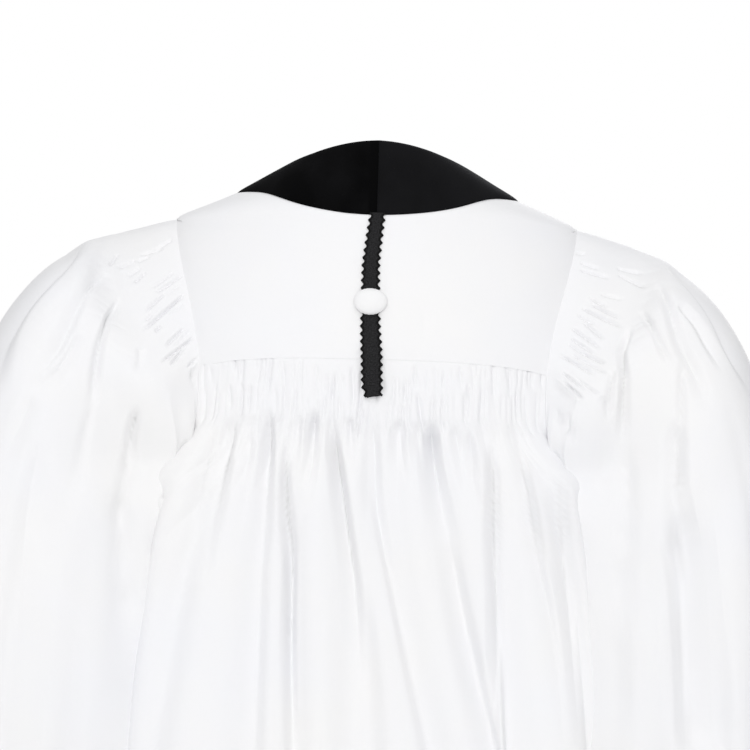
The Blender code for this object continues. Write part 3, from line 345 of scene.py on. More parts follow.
# Gimp braid, its scalloped edge cords and the button, in millimetres off the yoke under them.
BraidPoint = namedtuple("BraidPoint", "height x half_width")
BRAID_LINE = table(BraidPoint, (
    (-247, 1.5, 8.0), (-236, -0.2, 9.4), (-205, -1.6, 9.6), (-173, -3.6, 8.8), (-115, -4.8, 7.8),
    (-89, -2.8, 7.4), (-58, 0.6, 6.8),
))
BRAID_SCALLOPS = 24
BRAID_THICKNESS = 2.0
BRAID_CLEAR = 0.3
SCALLOP_DEPTH = 1.4
CORD_SIDES = 10
CORD_RINGS_A_SCALLOP = 14
CORD_HALF_WIDTH = 1.15
CORD_HALF_DEPTH = 0.85
BRAID_LIFT_FROM = -190
BRAID_LIFT_TO = -206
FLUTE_CLEARANCE = 2.4
BUTTON_HEIGHT = -150.3
BUTTON_HALF_WIDTH = 17.5
BUTTON_HALF_TALL = 14.0
BUTTON_DOME = 8.0
BUTTON_LIFT = 0.6

# Stage: metres and degrees.
FLOOR_HEIGHT = -1.52
CAMERA_TARGET = (0.0026, -0.08, -0.2257)
CAMERA_DISTANCE = 3.0
CAMERA_ROLL = 1.6
VIEW_WIDTH = 0.7875
SENSOR_WIDTH = 36


def between(t, span, values, slopes, i):
    """A smooth curve, at a share t of the way from its value i to the next."""
    start = (1 + 2 * t) * (1 - t) ** 2 * values[i] + t * (1 - t) ** 2 * span * slopes[i]
    end = t * t * (3 - 2 * t) * values[i + 1] - t * t * (1 - t) * span * slopes[i + 1]
    return start + end


def smooth(keys, values):
    """A smooth curve through values at rising keys, for one number or an array of them."""
    keys = np.array(keys, float)
    values = np.array(values, float)
    spans = np.diff(keys)
    rises = np.diff(values) / spans
    slopes = np.zeros(len(keys))
    slopes[0] = rises[0]
    slopes[-1] = rises[-1]
    for i in range(1, len(rises)):
        if rises[i - 1] * rises[i] > 0:
            slopes[i] = 2 * rises[i - 1] * rises[i] / (rises[i - 1] + rises[i])

    def curve(at):
        at = np.clip(at, keys[0], keys[-1])
        i = np.clip(np.searchsorted(keys, at, side="right") - 1, 0, len(spans) - 1)
        return between((at - keys[i]) / spans[i], spans[i], values, slopes, i)

    return curve


def column(table, key, name):
    """A smooth curve through one column of a table."""
    rows = sorted(table, key=lambda row: getattr(row, key))
    return smooth([getattr(row, key) for row in rows], [getattr(row, name) for row in rows])


half_width, back_depth, front_depth, squareness = (
    column(TORSO, "height", name) for name in Section._fields[1:])
fold_growth = column(FOLD_GROWTH, "height", "growth")
braid_x = column(BRAID_LINE, "height", "x")
braid_half_width = column(BRAID_LINE, "height", "half_width")
station_x, station_height = (
    smooth(range(len(ARMHOLE)), values) for values in zip(*ARMHOLE))


def travelled(points):
    """Distances along a line of points, or down a grid by the mean of its columns."""
    steps = np.linalg.norm(np.diff(points, axis=0), axis=-1)
    return np.concatenate([[0], np.cumsum(steps if steps.ndim == 1 else steps.mean(axis=1))])


def unit(ways):
    """Directions made one long."""
    return ways / np.maximum(np.linalg.norm(ways, axis=-1, keepdims=True), 1e-9)


def even_station(part, last, front=False):
    """Stations that lie evenly along the armhole, from the shoulder point to a last station."""
    share, _points = ARMHOLE_HALVES[1 if front else 0]
    stations = np.linspace(0, UNDERARM, len(share))
    end = np.interp(last, stations, share)
    return np.interp(part * end, share, stations)


def squared(x, y, depth, half, power):
    """A point of an outline moved out from its middle to a squarer outline of the same reach."""
    u = np.abs(x) / half
    v = np.abs(y) / depth
    scale = np.maximum(u ** power + v ** power, 1e-9) ** (-1 / power)
    return x * scale, y * scale


def mix(a, b, share):
    """The value or point at a share of the way from a to b."""
    return a * (1 - share) + b * share


def ease(share):
    """A soft step from 0 to 1."""
    share = np.clip(share, 0, 1)
    return share * share * (3 - 2 * share)


def ramp(value, start, end):
    """A soft step from 0 at a start to 1 at an end."""
    return ease((value - start) / (end - start))


def bell(value, middle, spread):
    """1 at a middle, falling off to 0 within about two spreads of it."""
    return np.exp(-((value - middle) / spread) ** 2)


def xyz(x, y, z):
    """Points from their three coordinates."""
    return np.stack(np.broadcast_arrays(x, y, z), -1).astype(float)


def on_body(turn, height, side=1.0):
    """Points of the body's face, at a turn in degrees from the centre back."""
    angle = np.radians(turn)
    power = 2 / squareness(height)
    behind = np.asarray(turn) <= 90
    depth = np.where(behind, back_depth(height), front_depth(height))
    x = side * half_width(height) * np.abs(np.sin(angle)) ** power
    y = depth * np.abs(np.cos(angle)) ** power * np.where(behind, -1, 1)
    rise = SHOULDER_RISE * bell(np.abs(x), SHOULDER_RISE_X, SHOULDER_RISE_SPREAD) * ramp(height, -90, -50)
    return xyz(x, y, height + rise)


def turn_at(x, height, front=False):
    """The turn at which the body's outline reaches a distance from the centre."""
    reach = np.minimum(np.abs(x) / half_width(height), 1)
    turn = np.degrees(np.arcsin(reach ** (squareness(height) / 2)))
    return 180 - turn if front else turn


def armhole(station, front=False):
    """Points of the armhole at a station, on the back or the front of the body."""
    height = station_height(station)
    return on_body(turn_at(station_x(station), height, front), height)


def armhole_round(count=400):
    """The armhole as shares of the way round, from the ridge down the back and up the front."""
    stations = np.linspace(0, UNDERARM, count)
    halves = []
    for front in (False, True):
        points = armhole(stations, front)
        points[0, 1] = points[-1, 1] = 0
        reached = travelled(points)
        halves.append((reached / reached[-1] / 2, points))
    return halves


ARMHOLE_HALVES = armhole_round()


def armhole_at(around):
    """Points of the armhole at shares of the way round it."""
    around = np.mod(around, 1.0)
    half = np.where(around <= 0.5, around, 1 - around)
    result = []
    for share, points in ARMHOLE_HALVES:
        result.append(np.stack([np.interp(half, share, points[:, k]) for k in range(3)], -1))
    return np.where((around <= 0.5)[..., None], result[0], result[1])


def station_share(station):
    """How far round the armhole a station of its back half lies."""
    share, _points = ARMHOLE_HALVES[0]
    return float(np.interp(station, np.linspace(0, UNDERARM, len(share)), share))


def normals_of(points, closed=False, away=None):
    """Directions out of a grid of points, away from a middle point or line."""
    if closed:
        across = np.roll(points, -1, axis=1) - np.roll(points, 1, axis=1)
    else:
        across = np.gradient(points, axis=1)
    down = np.gradient(points, axis=0)
    normals = unit(np.cross(down, across))
    outwards = points - (np.array(away) if away is not None else points.mean(axis=(0, 1)))
    if (normals * outwards).sum() < 0:
        normals = -normals
    return normals


def ripple(points, size, height, seed, stretch=1.0):
    """Soft uneven waves in the cloth, a given size across and stretched down its length."""
    rng = np.random.default_rng(seed)
    total = np.zeros(points.shape[:-1])
    for _wave in range(14):
        way = rng.normal(size=3)
        way /= np.linalg.norm(way)
        way[2] /= stretch
        length = size * rng.uniform(0.6, 1.6)
        total += np.sin(points @ way * (2 * math.pi / length) + rng.uniform(0, 2 * math.pi))
    return height * total / math.sqrt(14)


def grooves(across, fall, places, starts, ends, depths, widths, slants):
    """Sharp grooves between cartridge pleats, each with its own place, ends, depth and slant."""
    total = np.zeros(np.broadcast(across, fall).shape)
    for place, start, end, depth, width, slant in zip(places, starts, ends, depths, widths, slants):
        gap = np.abs(across - place - slant * (fall - start)) / width
        held = ease((fall - start) / PLEAT_FADE) * ease((end - fall) / PLEAT_FADE)
        total -= depth * held * np.exp(-gap ** 1.6)
    return total


def pleats(across, fall, width, count, seed, bands, height):
    """Bands of cartridge pleats across a width, each band with grooves of its own."""
    rng = np.random.default_rng(seed)
    total = np.zeros(np.broadcast(across, fall).shape)
    spacing = width / count
    for start, end in bands:
        places = (np.arange(count - 1) + 1 + rng.uniform(-0.36, 0.36, count - 1)) * spacing
        starts = start + rng.uniform(-5, 9, count - 1)
        ends = end + rng.uniform(-12, 9, count - 1)
        depths = height * rng.uniform(0.2, 1.6, count - 1)
        widths = spacing * rng.uniform(0.2, 0.32, count - 1)
        leans = rng.uniform(-0.06, 0.06, count - 1)
        total += grooves(across, fall, places, starts, ends, depths, widths, leans)
    return total


def small_folds(across, fall, count, seed, depth, width, length):
    """Many short folds that start where the pleats end and die out as they fall."""
    rng = np.random.default_rng(seed)
    total = np.zeros(np.broadcast(across, fall).shape)
    for k in range(count):
        middle = (k + rng.uniform(0.15, 0.85)) / count
        wide = width * rng.uniform(0.6, 1.5)
        deep = depth * rng.uniform(0.3, 1.0)
        long = length * rng.uniform(0.35, 1.3)
        drift = rng.uniform(-0.5, 0.5) * width
        start = rng.uniform(-4, 12)
        share = np.clip((fall - start) / long, 0, 1)
        growing = np.clip((fall - start) / 10, 0, 1) * (1 - share) ** 1.3
        gap = (across - middle - drift * share) / (wide * (1 + 1.6 * share))
        total -= deep * growing * np.exp(-np.abs(gap) ** 1.4)
    return total


def creased(points, creases, side=1, parts=28):
    """Creases pressed into cloth, from lines drawn on the robe as it is seen from behind."""
    place = points[..., (0, 2)]
    total = np.zeros(place.shape[:-1])
    for crease in creases:
        line = np.array(crease.line, float) * (side, 1)
        reached = travelled(line)
        fine = np.linspace(0, reached[-1], parts)
        line = np.stack([smooth(reached, line[:, k])(fine) for k in (0, 1)], -1)
        left, right = (crease.left, crease.right) if side > 0 else (crease.right, crease.left)
        far = 2 * max(left, right)
        low = line.min(axis=0) - far
        high = line.max(axis=0) + far
        near = ((place >= low) & (place <= high)).all(axis=-1)
        spots = place[near]
        nearest = np.full(len(spots), 1e9)
        signed = np.zeros(len(spots))
        along = np.zeros(len(spots))
        for i, (a, b) in enumerate(zip(line, line[1:])):
            way = b - a
            off = spots - a
            t = np.clip((off @ way) / (way @ way), 0, 1)
            gap = off - t[..., None] * way
            apart = np.linalg.norm(gap, axis=-1)
            turned = way[0] * off[..., 1] - way[1] * off[..., 0]
            closer = apart < nearest
            nearest = np.where(closer, apart, nearest)
            signed = np.where(closer, np.sign(turned) * apart, signed)
            along = np.where(closer, (i + t) / (len(line) - 1), along)
        wide = 1.5 * np.where(signed < 0, left, right) * (0.8 + 0.5 * along)
        shape = ramp(along, 0, 0.16) * np.clip((1 - along) / crease.fade, 0, 1)
        total[near] -= crease.depth * shape * np.clip(1 - nearest / wide, 0, 1) ** 1.3
    return total


def pressed(points, table, side, reach):
    """The short straight pleats of a sleeve head, from a table of their ends."""
    creases = []
    for pleat in table:
        line = ((pleat.x0, pleat.height0), (pleat.x1, pleat.height1))
        creases.append(Crease(line, pleat.depth, reach, reach, 0.25))
    return creased(points, creases, side, 2)


def rolled(share, reach, depth):
    """How far a piece rolls down beside its seams, by its nearness to them."""
    return depth * np.clip(1 - share / reach, 0, 1) ** 2


def lapped(points, normals, sides):
    """The piece carried a little past its seams, so that it laps the piece beside it."""
    for side in sides:
        axis, end = EDGES[side]
        last = np.take(points, [end], axis)
        way = unit(last - np.take(points, [-2 if end else 1], axis))
        more = [last + (LAP_REACH - LAP_HOLD) * way, last + LAP_REACH * way]
        same = [np.take(normals, [end], axis)] * 2
        points = np.concatenate([points] + more if end else more[::-1] + [points], axis=axis)
        normals = np.concatenate([normals] + same if end else same + [normals], axis=axis)
    return points, normals


def turned_under(points, normals, sides, depth=2.5):
    """The piece with its seam allowances turned under along the named sides."""
    inward = -depth * normals
    for side in sides:
        axis, end = EDGES[side]
        under = np.take(inward, [end], axis)
        edge = np.take(points, [end], axis) + under
        points = np.concatenate((points, edge) if end else (edge, points), axis=axis)
        inward = np.concatenate((inward, under) if end else (under, inward), axis=axis)
    return points


def stitched(above, stitch):
    """The groove that a line of stitching presses into cloth, at heights above its edge."""
    return stitch.depth * bell(above, stitch.above, stitch.width)


def placed(name, data):
    """A new object in the scene."""
    item = bpy.data.objects.new(name, data)
    bpy.context.scene.collection.objects.link(item)
    return item


def flat_uv(mesh):
    """Lay the weave straight across a mesh, as it is seen from behind."""
    layer = mesh.uv_layers.new(name="Weave")
    for loop in mesh.loops:
        spot = mesh.vertices[loop.vertex_index].co
        layer.data[loop.index].uv = (spot.x, spot.z)


def cloth(name, points, thickness, material, closed=False):
    """A sheet of cloth from a grid of points in millimetres, with the weave laid along it."""
    rows, columns = points.shape[:2]
    mesh = bpy.data.meshes.new(name)
    span = columns if closed else columns - 1
    index = np.arange(rows * columns).reshape(rows, columns)
    left = index[:, :span]
    right = np.roll(index, -1, axis=1)[:, :span]
    faces = np.stack([left[:-1], left[1:], right[1:], right[:-1]], -1).reshape(-1, 4)
    steps = np.linalg.norm((np.roll(points, -1, axis=1) - points)[:, :span], axis=-1)
    across = np.concatenate([np.zeros((rows, 1)), np.cumsum(steps, axis=1)], axis=1)
    across -= across[:, -1:] / 2
    down = travelled(points)
    u = np.stack([across[:-1, :-1], across[1:, :-1], across[1:, 1:], across[:-1, 1:]], -1)
    v = np.stack([down[:-1], down[1:], down[1:], down[:-1]], -1)[:, None, :].repeat(span, axis=1)
    normals = normals_of(points, closed)
    corner = points.reshape(-1, 3)[faces[len(faces) // 2]]
    facing = np.cross(corner[1] - corner[0], corner[2] - corner[0])
    middle = normals.reshape(-1, 3)[faces[len(faces) // 2]].mean(axis=0)
    uv = np.stack([u, v], -1).reshape(-1, 4, 2) * MM
    if facing @ middle < 0:
        faces = faces[:, ::-1]
        uv = uv[:, ::-1]
    mesh.from_pydata((points.reshape(-1, 3) * MM).tolist(), [], faces.tolist())
    layer = mesh.uv_layers.new(name="Weave")
    layer.data.foreach_set("uv", uv.reshape(-1).astype(np.float32))
    mesh.shade_smooth()
    mesh.materials.append(material)
    piece = placed(name, mesh)
    wall = piece.modifiers.new("Cloth thickness", "SOLIDIFY")
    wall.thickness = thickness
    wall.offset = -1
    wall.use_even_offset = False
    return piece


def dress(piece, node):
    """Put a piece of cloth in the place of the solid that it stands for."""
    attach(piece, "root")
    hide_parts(node)


def sew(sizes, name, node, points, side="", finish="cloth", closed=False):
    """Make a piece of white cloth or velvet in its solid's place, mirrored if it is a left one."""
    ending = "_" + side if side else ""
    white = finish == "cloth"
    thickness = sizes.cloth_thickness if white else sizes.velvet_thickness
    points = mirror(points) if side == "left" else points
    piece = cloth(name + ending, points, thickness, finishes(sizes)[finish], closed)
    dress(piece, node + ending)


def both(right):
    """A grid across the whole back from its right half, whose first column is the middle."""
    left = right[:, :0:-1].copy()
    left[..., 0] *= -1
    return np.concatenate([left, right], axis=1)


def mirror(points):
    """The same grid on the other side of the robe."""
    return points * np.array([-1, 1, 1])


def band_back_height(turn):
    """Height of the velvet's lower edge across the back."""
    share = np.minimum(np.asarray(turn) / BAND_BACK_SPREAD, 1)
    return BAND_TIP_HEIGHT - BAND_BACK_DROP * np.cos(share * math.pi / 2) ** 2


def neck_back(turn):
    """The neck's edge across the back."""
    angle = np.radians(turn)
    rise = NAPE_RISE * (1 - np.sin(angle) ** NAPE_ROUNDNESS)
    return xyz(NECK_HALF_WIDTH * np.sin(angle), -NECK_BACK_DEPTH * np.cos(angle), NECK_SIDE_HEIGHT + rise)


def band_front_x(height):
    """Half width of the velvet's outer edge in front."""
    height = np.asarray(height, float)
    high = np.clip((height - BAND_TIP_HEIGHT) / (FRONT_SEAM_HEIGHT - BAND_TIP_HEIGHT), 0, 1)
    low = (height - FRONT_SEAM_HEIGHT) / (HEM_HEIGHT - FRONT_SEAM_HEIGHT)
    above = mix(BAND_TIP_X, BAND_FRONT_WIDTH, high ** BAND_CURVE)
    below = mix(BAND_FRONT_WIDTH, BAND_HEM_WIDTH, low)
    return np.where(height > FRONT_SEAM_HEIGHT, above, below)


def patch(top, bottom, left, right):
    """Turns and heights inside four edges, each an array of turn and height pairs."""
    u = np.linspace(0, 1, len(top))[None, :, None]
    v = np.linspace(0, 1, len(left))[:, None, None]
    edges = (1 - v) * top[None] + v * bottom[None] + (1 - u) * left[:, None] + u * right[:, None]
    corners = (1 - u) * (1 - v) * top[0] + u * (1 - v) * top[-1]
    corners = corners + (1 - u) * v * bottom[0] + u * v * bottom[-1]
    return edges - corners


def pairs(turn, height):
    """Turn and height side by side."""
    return np.stack(np.broadcast_arrays(turn, height), -1).astype(float)


def row_curves(rows):
    """Smooth curves for the middle, station and side height of a panel's rows."""
    return [smooth(range(len(rows)), values) for values in zip(*rows)]


def row_spacing(height):
    """Spacing of the grid rows: close where the pleats and creases are, open down the skirt."""
    if height > -290:
        return 4.0
    return 7.5 if height > -640 else 26.0


def panel_marks(rows):
    """Row numbers of a panel's grid, with those of its hem stitching."""
    marks = [0.0]
    for i, (a, b) in enumerate(zip(rows, rows[1:])):
        steps = max(round((a.middle - b.middle) / row_spacing(a.middle)), 2)
        marks += [i + (k + 1) / steps for k in range(steps)]
    return np.unique(marks + [len(rows) - 1 - part for part in HEM_STITCH_ROWS])


def edge_of(rows, at, front):
    """Turn and height of a panel's armhole and side edge at row numbers."""
    _middle, station, side = row_curves(rows)
    on_armhole = station(at) < UNDERARM - 1e-6
    height = np.where(on_armhole, station_height(station(at)), side(at))
    turn = np.where(on_armhole, turn_at(station_x(station(at)), height, front), 90.0)
    return turn, height


def even_outline(turn, height, count):
    """Shares of a turn that are evenly spaced along the body's outline."""
    fine = np.linspace(0, turn, 800)
    points = on_body(fine, np.full(fine.shape, float(height)))
    reached = travelled(points)
    return np.interp(np.linspace(0, reached[-1], count + 1), reached, fine) / turn


def valley_turn(valley, height, front):
    """The turn at which a valley lies, at each height."""
    xs = (valley.x610, valley.x450, valley.x350, valley.x285)
    x = smooth(VALLEY_HEIGHTS[::-1], xs)(height)
    upper = np.copysign(turn_at(x, np.maximum(height, VALLEY_HEIGHTS[-1])), x)
    last = math.copysign(float(turn_at(valley.x610, VALLEY_HEIGHTS[-1])), valley.x610)
    fall = np.clip((height - VALLEY_HEIGHTS[-1]) / (HEM_HEIGHT - VALLEY_HEIGHTS[-1]), 0, 1)
    turn = np.where(fall > 0, mix(last, 90 * valley.hem, fall), upper)
    return 180 - turn if front else turn


def fold_shape(part, before, after, right=0.2, left=0.2):
    """How far a fold stands out, at a share of the way from one valley to the next."""
    ridge = 0.4 * mix(before, after, ease(part))
    first = before * np.exp(-(part / right) ** 2)
    second = after * np.exp(-((1 - part) / left) ** 2)
    return ridge - first - second


def folds(turn, height, left_edge, right_edge, valleys, front=False):
    """How far each point of a panel stands out of it, between the valleys of its folds."""
    inner = [valley_turn(valley, height, front) for valley in valleys]
    places = np.stack(np.broadcast_arrays(left_edge, *inner, right_edge))
    if front:
        places = -places
        turn = -turn
    depths = np.array([0] + [v.depth for v in valleys] + [0], float)
    rights = np.array([0.2] + [v.right for v in valleys] + [0.2])
    lefts = np.array([0.2] + [v.left for v in valleys] + [0.2])
    i = np.clip((places <= turn).sum(axis=0) - 1, 0, len(depths) - 2)
    a = np.take_along_axis(places, i[None], 0)[0]
    b = np.take_along_axis(places, i[None] + 1, 0)[0]
    part = np.clip((turn - a) / np.maximum(b - a, 1e-6), 0, 1)
    shape = fold_shape(part, depths[i], depths[i + 1], rights[i], lefts[i + 1])
    return shape * fold_growth(height)


def full_sides(points, share, edge_height):
    """The body with squarer sides under the arms, where its cloth is pressed by the sleeves."""
    x, y, z = (points[..., k] for k in range(3))
    amount = SIDE_FULLNESS * ramp(z, -275, -345) * ramp(z, -1050, -700)
    on_armhole = (edge_height > UNDERARM_HEIGHT + 0.5)[:, None]
    amount = amount * np.where(on_armhole, ramp(np.abs(share), 1, 0.93), 1)
    depth = np.where(y < 0, back_depth(z), front_depth(z))
    squarer_x, squarer_y = squared(x, y, depth, half_width(z), SIDE_SQUARENESS)
    return xyz(mix(x, squarer_x, amount), mix(y, squarer_y, amount), z)


def calm_sides(share, height):
    """Folds are shallow where the sleeve hangs against the body."""
    return 1 - SIDE_CALM * ramp(np.abs(share), 0.7, 0.84) * ramp(height, -860, -700)


# Finishes.
def wire(tree, node, inputs):
    """Fill a node's inputs, each with a plain value or a link from another node's output."""
    for label, value in inputs.items():
        if isinstance(value, bpy.types.NodeSocket):
            tree.links.new(value, node.inputs[label])
        else:
            node.inputs[label].default_value = value
    return node


def add_node(tree, kind, inputs=(), **settings):
    """A new shader node with its settings, and with its inputs filled."""
    node = tree.nodes.new("ShaderNode" + kind)
    for name, value in settings.items():
        setattr(node, name, value)
    return wire(tree, node, dict(inputs))


def sum_of(tree, what, *values, clamp=False):
    """One sum on node outputs or plain numbers."""
    return add_node(tree, "Math", enumerate(values), operation=what, use_clamp=clamp).outputs[0]


def group_of(name, inputs, outputs):
    """A shader node group with named numbers going in and coming out."""
    tree = bpy.data.node_groups.new(name, "ShaderNodeTree")
    for label, kind, value in inputs:
        socket = tree.interface.new_socket(label, in_out="INPUT", socket_type=kind)
        if value is not None:
            socket.default_value = value
    for label in outputs:
        tree.interface.new_socket(label, in_out="OUTPUT", socket_type="NodeSocketFloat")
    enter = tree.nodes.new("NodeGroupInput")
    leave = tree.nodes.new("NodeGroupOutput")
    return tree, enter.outputs[0], enter.outputs[1], leave


def weave_group():
    """Threads that cross over and under each other, along the cloth's own directions."""
    tree, along, spacing, leave = group_of(
        "Plain weave",
        [("Along cloth", "NodeSocketVector", None), ("Thread spacing", "NodeSocketFloat", 0.0006)],
        ["Height", "Tone"],
    )
    split = add_node(tree, "SeparateXYZ", {0: along})
    waves = []
    for axis in ("X", "Y"):
        turns = sum_of(tree, "DIVIDE", split.outputs[axis], spacing)
        waves.append(sum_of(tree, "SINE", sum_of(tree, "MULTIPLY", turns, 2 * math.pi)))
    height = sum_of(tree, "MULTIPLY_ADD", sum_of(tree, "MULTIPLY", *waves), 0.5, 0.5)
    slub = add_node(tree, "TexNoise", {"Vector": along, "Scale": 240, "Detail": 2})
    tone = sum_of(tree, "MULTIPLY", height, slub.outputs["Fac"], clamp=True)
    wire(tree, leave, {"Height": height, "Tone": tone})
    return tree


def drift_group():
    """Slow uneven change over the surface, as cloth takes light and handling."""
    tree, place, size, leave = group_of(
        "Slow drift",
        [("Place", "NodeSocketVector", None), ("Size", "NodeSocketFloat", 0.1)],
        ["Amount"],
    )
    scale = sum_of(tree, "DIVIDE", 1.0, size)
    noise = add_node(tree, "TexNoise", {"Vector": place, "Scale": scale, "Detail": 3})
    spread = add_node(tree, "MapRange", {"Value": noise.outputs["Fac"], "From Min": 0.32, "From Max": 0.68})
    wire(tree, leave, {"Amount": spread.outputs[0]})
    return tree


def drifting(tree, drift, vector, size):
    """The slow drift's amount in a material, at its own size."""
    return add_node(tree, "Group", {0: vector, "Size": size}, node_tree=drift).outputs["Amount"]


def blend_colours(tree, amount, first, second):
    """A colour between two, by an amount that changes over the surface."""
    inputs = {"Factor": amount, "A": (*first, 1), "B": (*second, 1)}
    return add_node(tree, "Mix", inputs, data_type="RGBA").outputs["Result"]


def new_finish(name):
    """An empty material, its shader, the cloth's own directions and the place on the object."""
    material = bpy.data.materials.new(name)
    material.use_nodes = True
    tree = material.node_tree
    along = add_node(tree, "UVMap", uv_map="Weave").outputs["UV"]
    place = add_node(tree, "TexCoord").outputs["Object"]
    return material, tree, tree.nodes["Principled BSDF"], along, place


def surface(tree, shader, base, grain, rough, relief, **shine):
    """A shader's colour, its roughness from a grain, its fine relief and its plain values."""
    bump = add_node(tree, "Bump", zip(("Height", "Strength", "Distance"), relief))
    wire(tree, shader, {
        "Base Color": base,
        "Roughness": sum_of(tree, "MULTIPLY_ADD", grain, *rough),
        "Normal": bump.outputs["Normal"],
    })
    wire(tree, shader, {label.replace("_", " "): value for label, value in shine.items()})


def darker(colour, share):
    """The same colour, darker by a share."""
    return tuple(part * (1 - share) for part in colour)


def white_finish(name, colour, weave, drift, spacing):
    """White woven polyester: fine weave, soft matt with a faint sheen."""
    material, tree, shader, along, place = new_finish(name)
    threads = add_node(tree, "Group", {0: along, "Thread spacing": spacing}, node_tree=weave).outputs
    cool = (colour[0] * 0.985, colour[1] * 0.99, colour[2])
    warm = (colour[0], colour[1] * 0.998, colour[2] * 0.985)
    base = blend_colours(tree, drifting(tree, drift, place, 0.16), warm, cool)
    fine = blend_colours(tree, threads["Tone"], (0.97, 0.97, 0.975), (1, 1, 1))
    both_tones = {"Factor": 1, "A": base, "B": fine}
    tint = add_node(tree, "Mix", both_tones, data_type="RGBA", blend_type="MULTIPLY")
    surface(tree, shader, tint.outputs["Result"], threads["Tone"], (0.12, 0.55),
            (threads["Height"], 0.18, 0.00012),
            Specular_IOR_Level=0.3, Sheen_Weight=0.12, Sheen_Roughness=0.45)
    return material


def velvet_finish(name, colour, drift, sheen, shaded_half):
    """Black velvet: deep pile with soft patches where the nap leans. On the darker half the colour is
    lowered further, as painted shade, with painted shade along the middle seam.
    """
    material, tree, shader, along, place = new_finish(name)
    amount = drifting(tree, drift, place, 0.05)
    pile = drifting(tree, drift, along, 0.0011)
    # Painted shade beside the middle seam: on the darker half, within about 8 mm of the robe's middle line
    # and fading out by 11 mm, the velvet keeps its darkest tone.
    if shaded_half:
        parts = add_node(tree, "SeparateXYZ", {0: place})
        clear_of_seam_shade = sum_of(tree, "MULTIPLY_ADD", parts.outputs["X"], -330, -2.6, clamp=True)
        amount = sum_of(tree, "MULTIPLY", amount, clear_of_seam_shade)
    # On the darker half the patches fall to 0.3 of the colour rather than 0.7: painted shade on the half
    # whose nap turns from the light.
    base = blend_colours(tree, amount, darker(colour, 0.7 if shaded_half else 0.3), colour)
    surface(tree, shader, base, pile, (0.08, 0.86), (pile, 0.35, 0.0003), Specular_IOR_Level=0.05,
            Sheen_Weight=sheen, Sheen_Roughness=0.4, Sheen_Tint=(0.8, 0.82, 0.9, 1))
    return material


def gimp_finish(name, colour, drift, lift):
    """Black rayon gimp: small wound cords with a dull shine."""
    material, tree, shader, along, _place = new_finish(name)
    threads = drifting(tree, drift, along, 0.0016)
    base = blend_colours(tree, threads, darker(colour, 0.55), darker(colour, 1 - lift))
    surface(tree, shader, base, threads, (-0.2, 0.8), (threads, 0.6, 0.0005), Specular_IOR_Level=0.15)
    return material


def floor_finish():
    """A pale painted floor."""
    material, tree, shader, _along, place = new_finish("Pale floor")
    noise = add_node(tree, "TexNoise", {"Vector": place, "Scale": 4})
    tone = blend_colours(tree, noise.outputs["Fac"], (0.8, 0.8, 0.8), (0.84, 0.84, 0.84))
    wire(tree, shader, {"Base Color": tone, "Roughness": 0.8})
    return material


class Finishes:
    """The robe's materials, made once."""

    made = {}


def finishes(sizes):
    """Make the materials from the sizes and colours, or give those already made."""
    if not Finishes.made:
        weave = weave_group()
        drift = drift_group()
        white = (sizes.cloth_colour, weave, drift, sizes.thread_spacing)
        velvet = sizes.velvet_colour
        gimp = sizes.braid_colour
        Finishes.made = {
            "cloth": white_finish("White robe cloth", *white),
            # Lit and shaded copies of one velvet: the left half is darker, as painted shade, and the right
            # half takes 1.8 times the colour, as a painted sheen where its nap catches the light.
            "velvet left": velvet_finish("Black velvet, nap down", velvet, drift, 0.01, True),
            "velvet right": velvet_finish("Black velvet, nap up", darker(velvet, -0.8), drift, 0.06, False),
            "gimp": gimp_finish("Black gimp", gimp, drift, 1.5),
            "gimp edge": gimp_finish("Black gimp edging", darker(gimp, 0.75), drift, 1.1),
            "button": white_finish("Button cover", *white),
        }
    return Finishes.made


class RobeSizes(bpy.types.PropertyGroup):
    """Sizes and colours of the robe that a user may change."""

    cloth_thickness: bpy.props.FloatProperty(
        name="Cloth thickness", description="Thickness of the white cloth",
        default=0.001, min=0.0004, max=0.003, precision=4, unit="LENGTH")
    velvet_thickness: bpy.props.FloatProperty(
        name="Velvet thickness", description="Thickness of the velvet with its backing",
        default=0.0024, min=0.001, max=0.004, precision=4, unit="LENGTH")
    pleat_height: bpy.props.FloatProperty(
        name="Pleat height", description="How far the flutes of the yoke and sleeve heads stand out",
        default=PLEAT_HEIGHT * MM, min=0.0005, max=0.003, precision=4, unit="LENGTH")
    fold_strength: bpy.props.FloatProperty(
        name="Fold strength", description="Depth of the folds as a share of their pattern depth",
        default=1.0, min=0.0, max=1.5, subtype="FACTOR")
    thread_spacing: bpy.props.FloatProperty(
        name="Thread spacing", description="Spacing of the cloth's threads",
        default=0.0007, min=0.0003, max=0.002, precision=5, unit="LENGTH")
    cloth_colour: bpy.props.FloatVectorProperty(
        name="Cloth colour", description="Colour of the white cloth",
        default=(0.90, 0.90, 0.91), min=0, max=1, subtype="COLOR")
    velvet_colour: bpy.props.FloatVectorProperty(
        name="Velvet colour", description="Colour of the velvet's pile",
        default=(0.0045, 0.0045, 0.005), min=0, max=1, subtype="COLOR")
    braid_colour: bpy.props.FloatVectorProperty(
        name="Braid colour", description="Colour of the gimp braid",
        default=(0.016, 0.016, 0.017), min=0, max=1, subtype="COLOR")


def sizes_of(context):
    """The robe's sizes in this scene."""
    return context.scene.robe_sizes


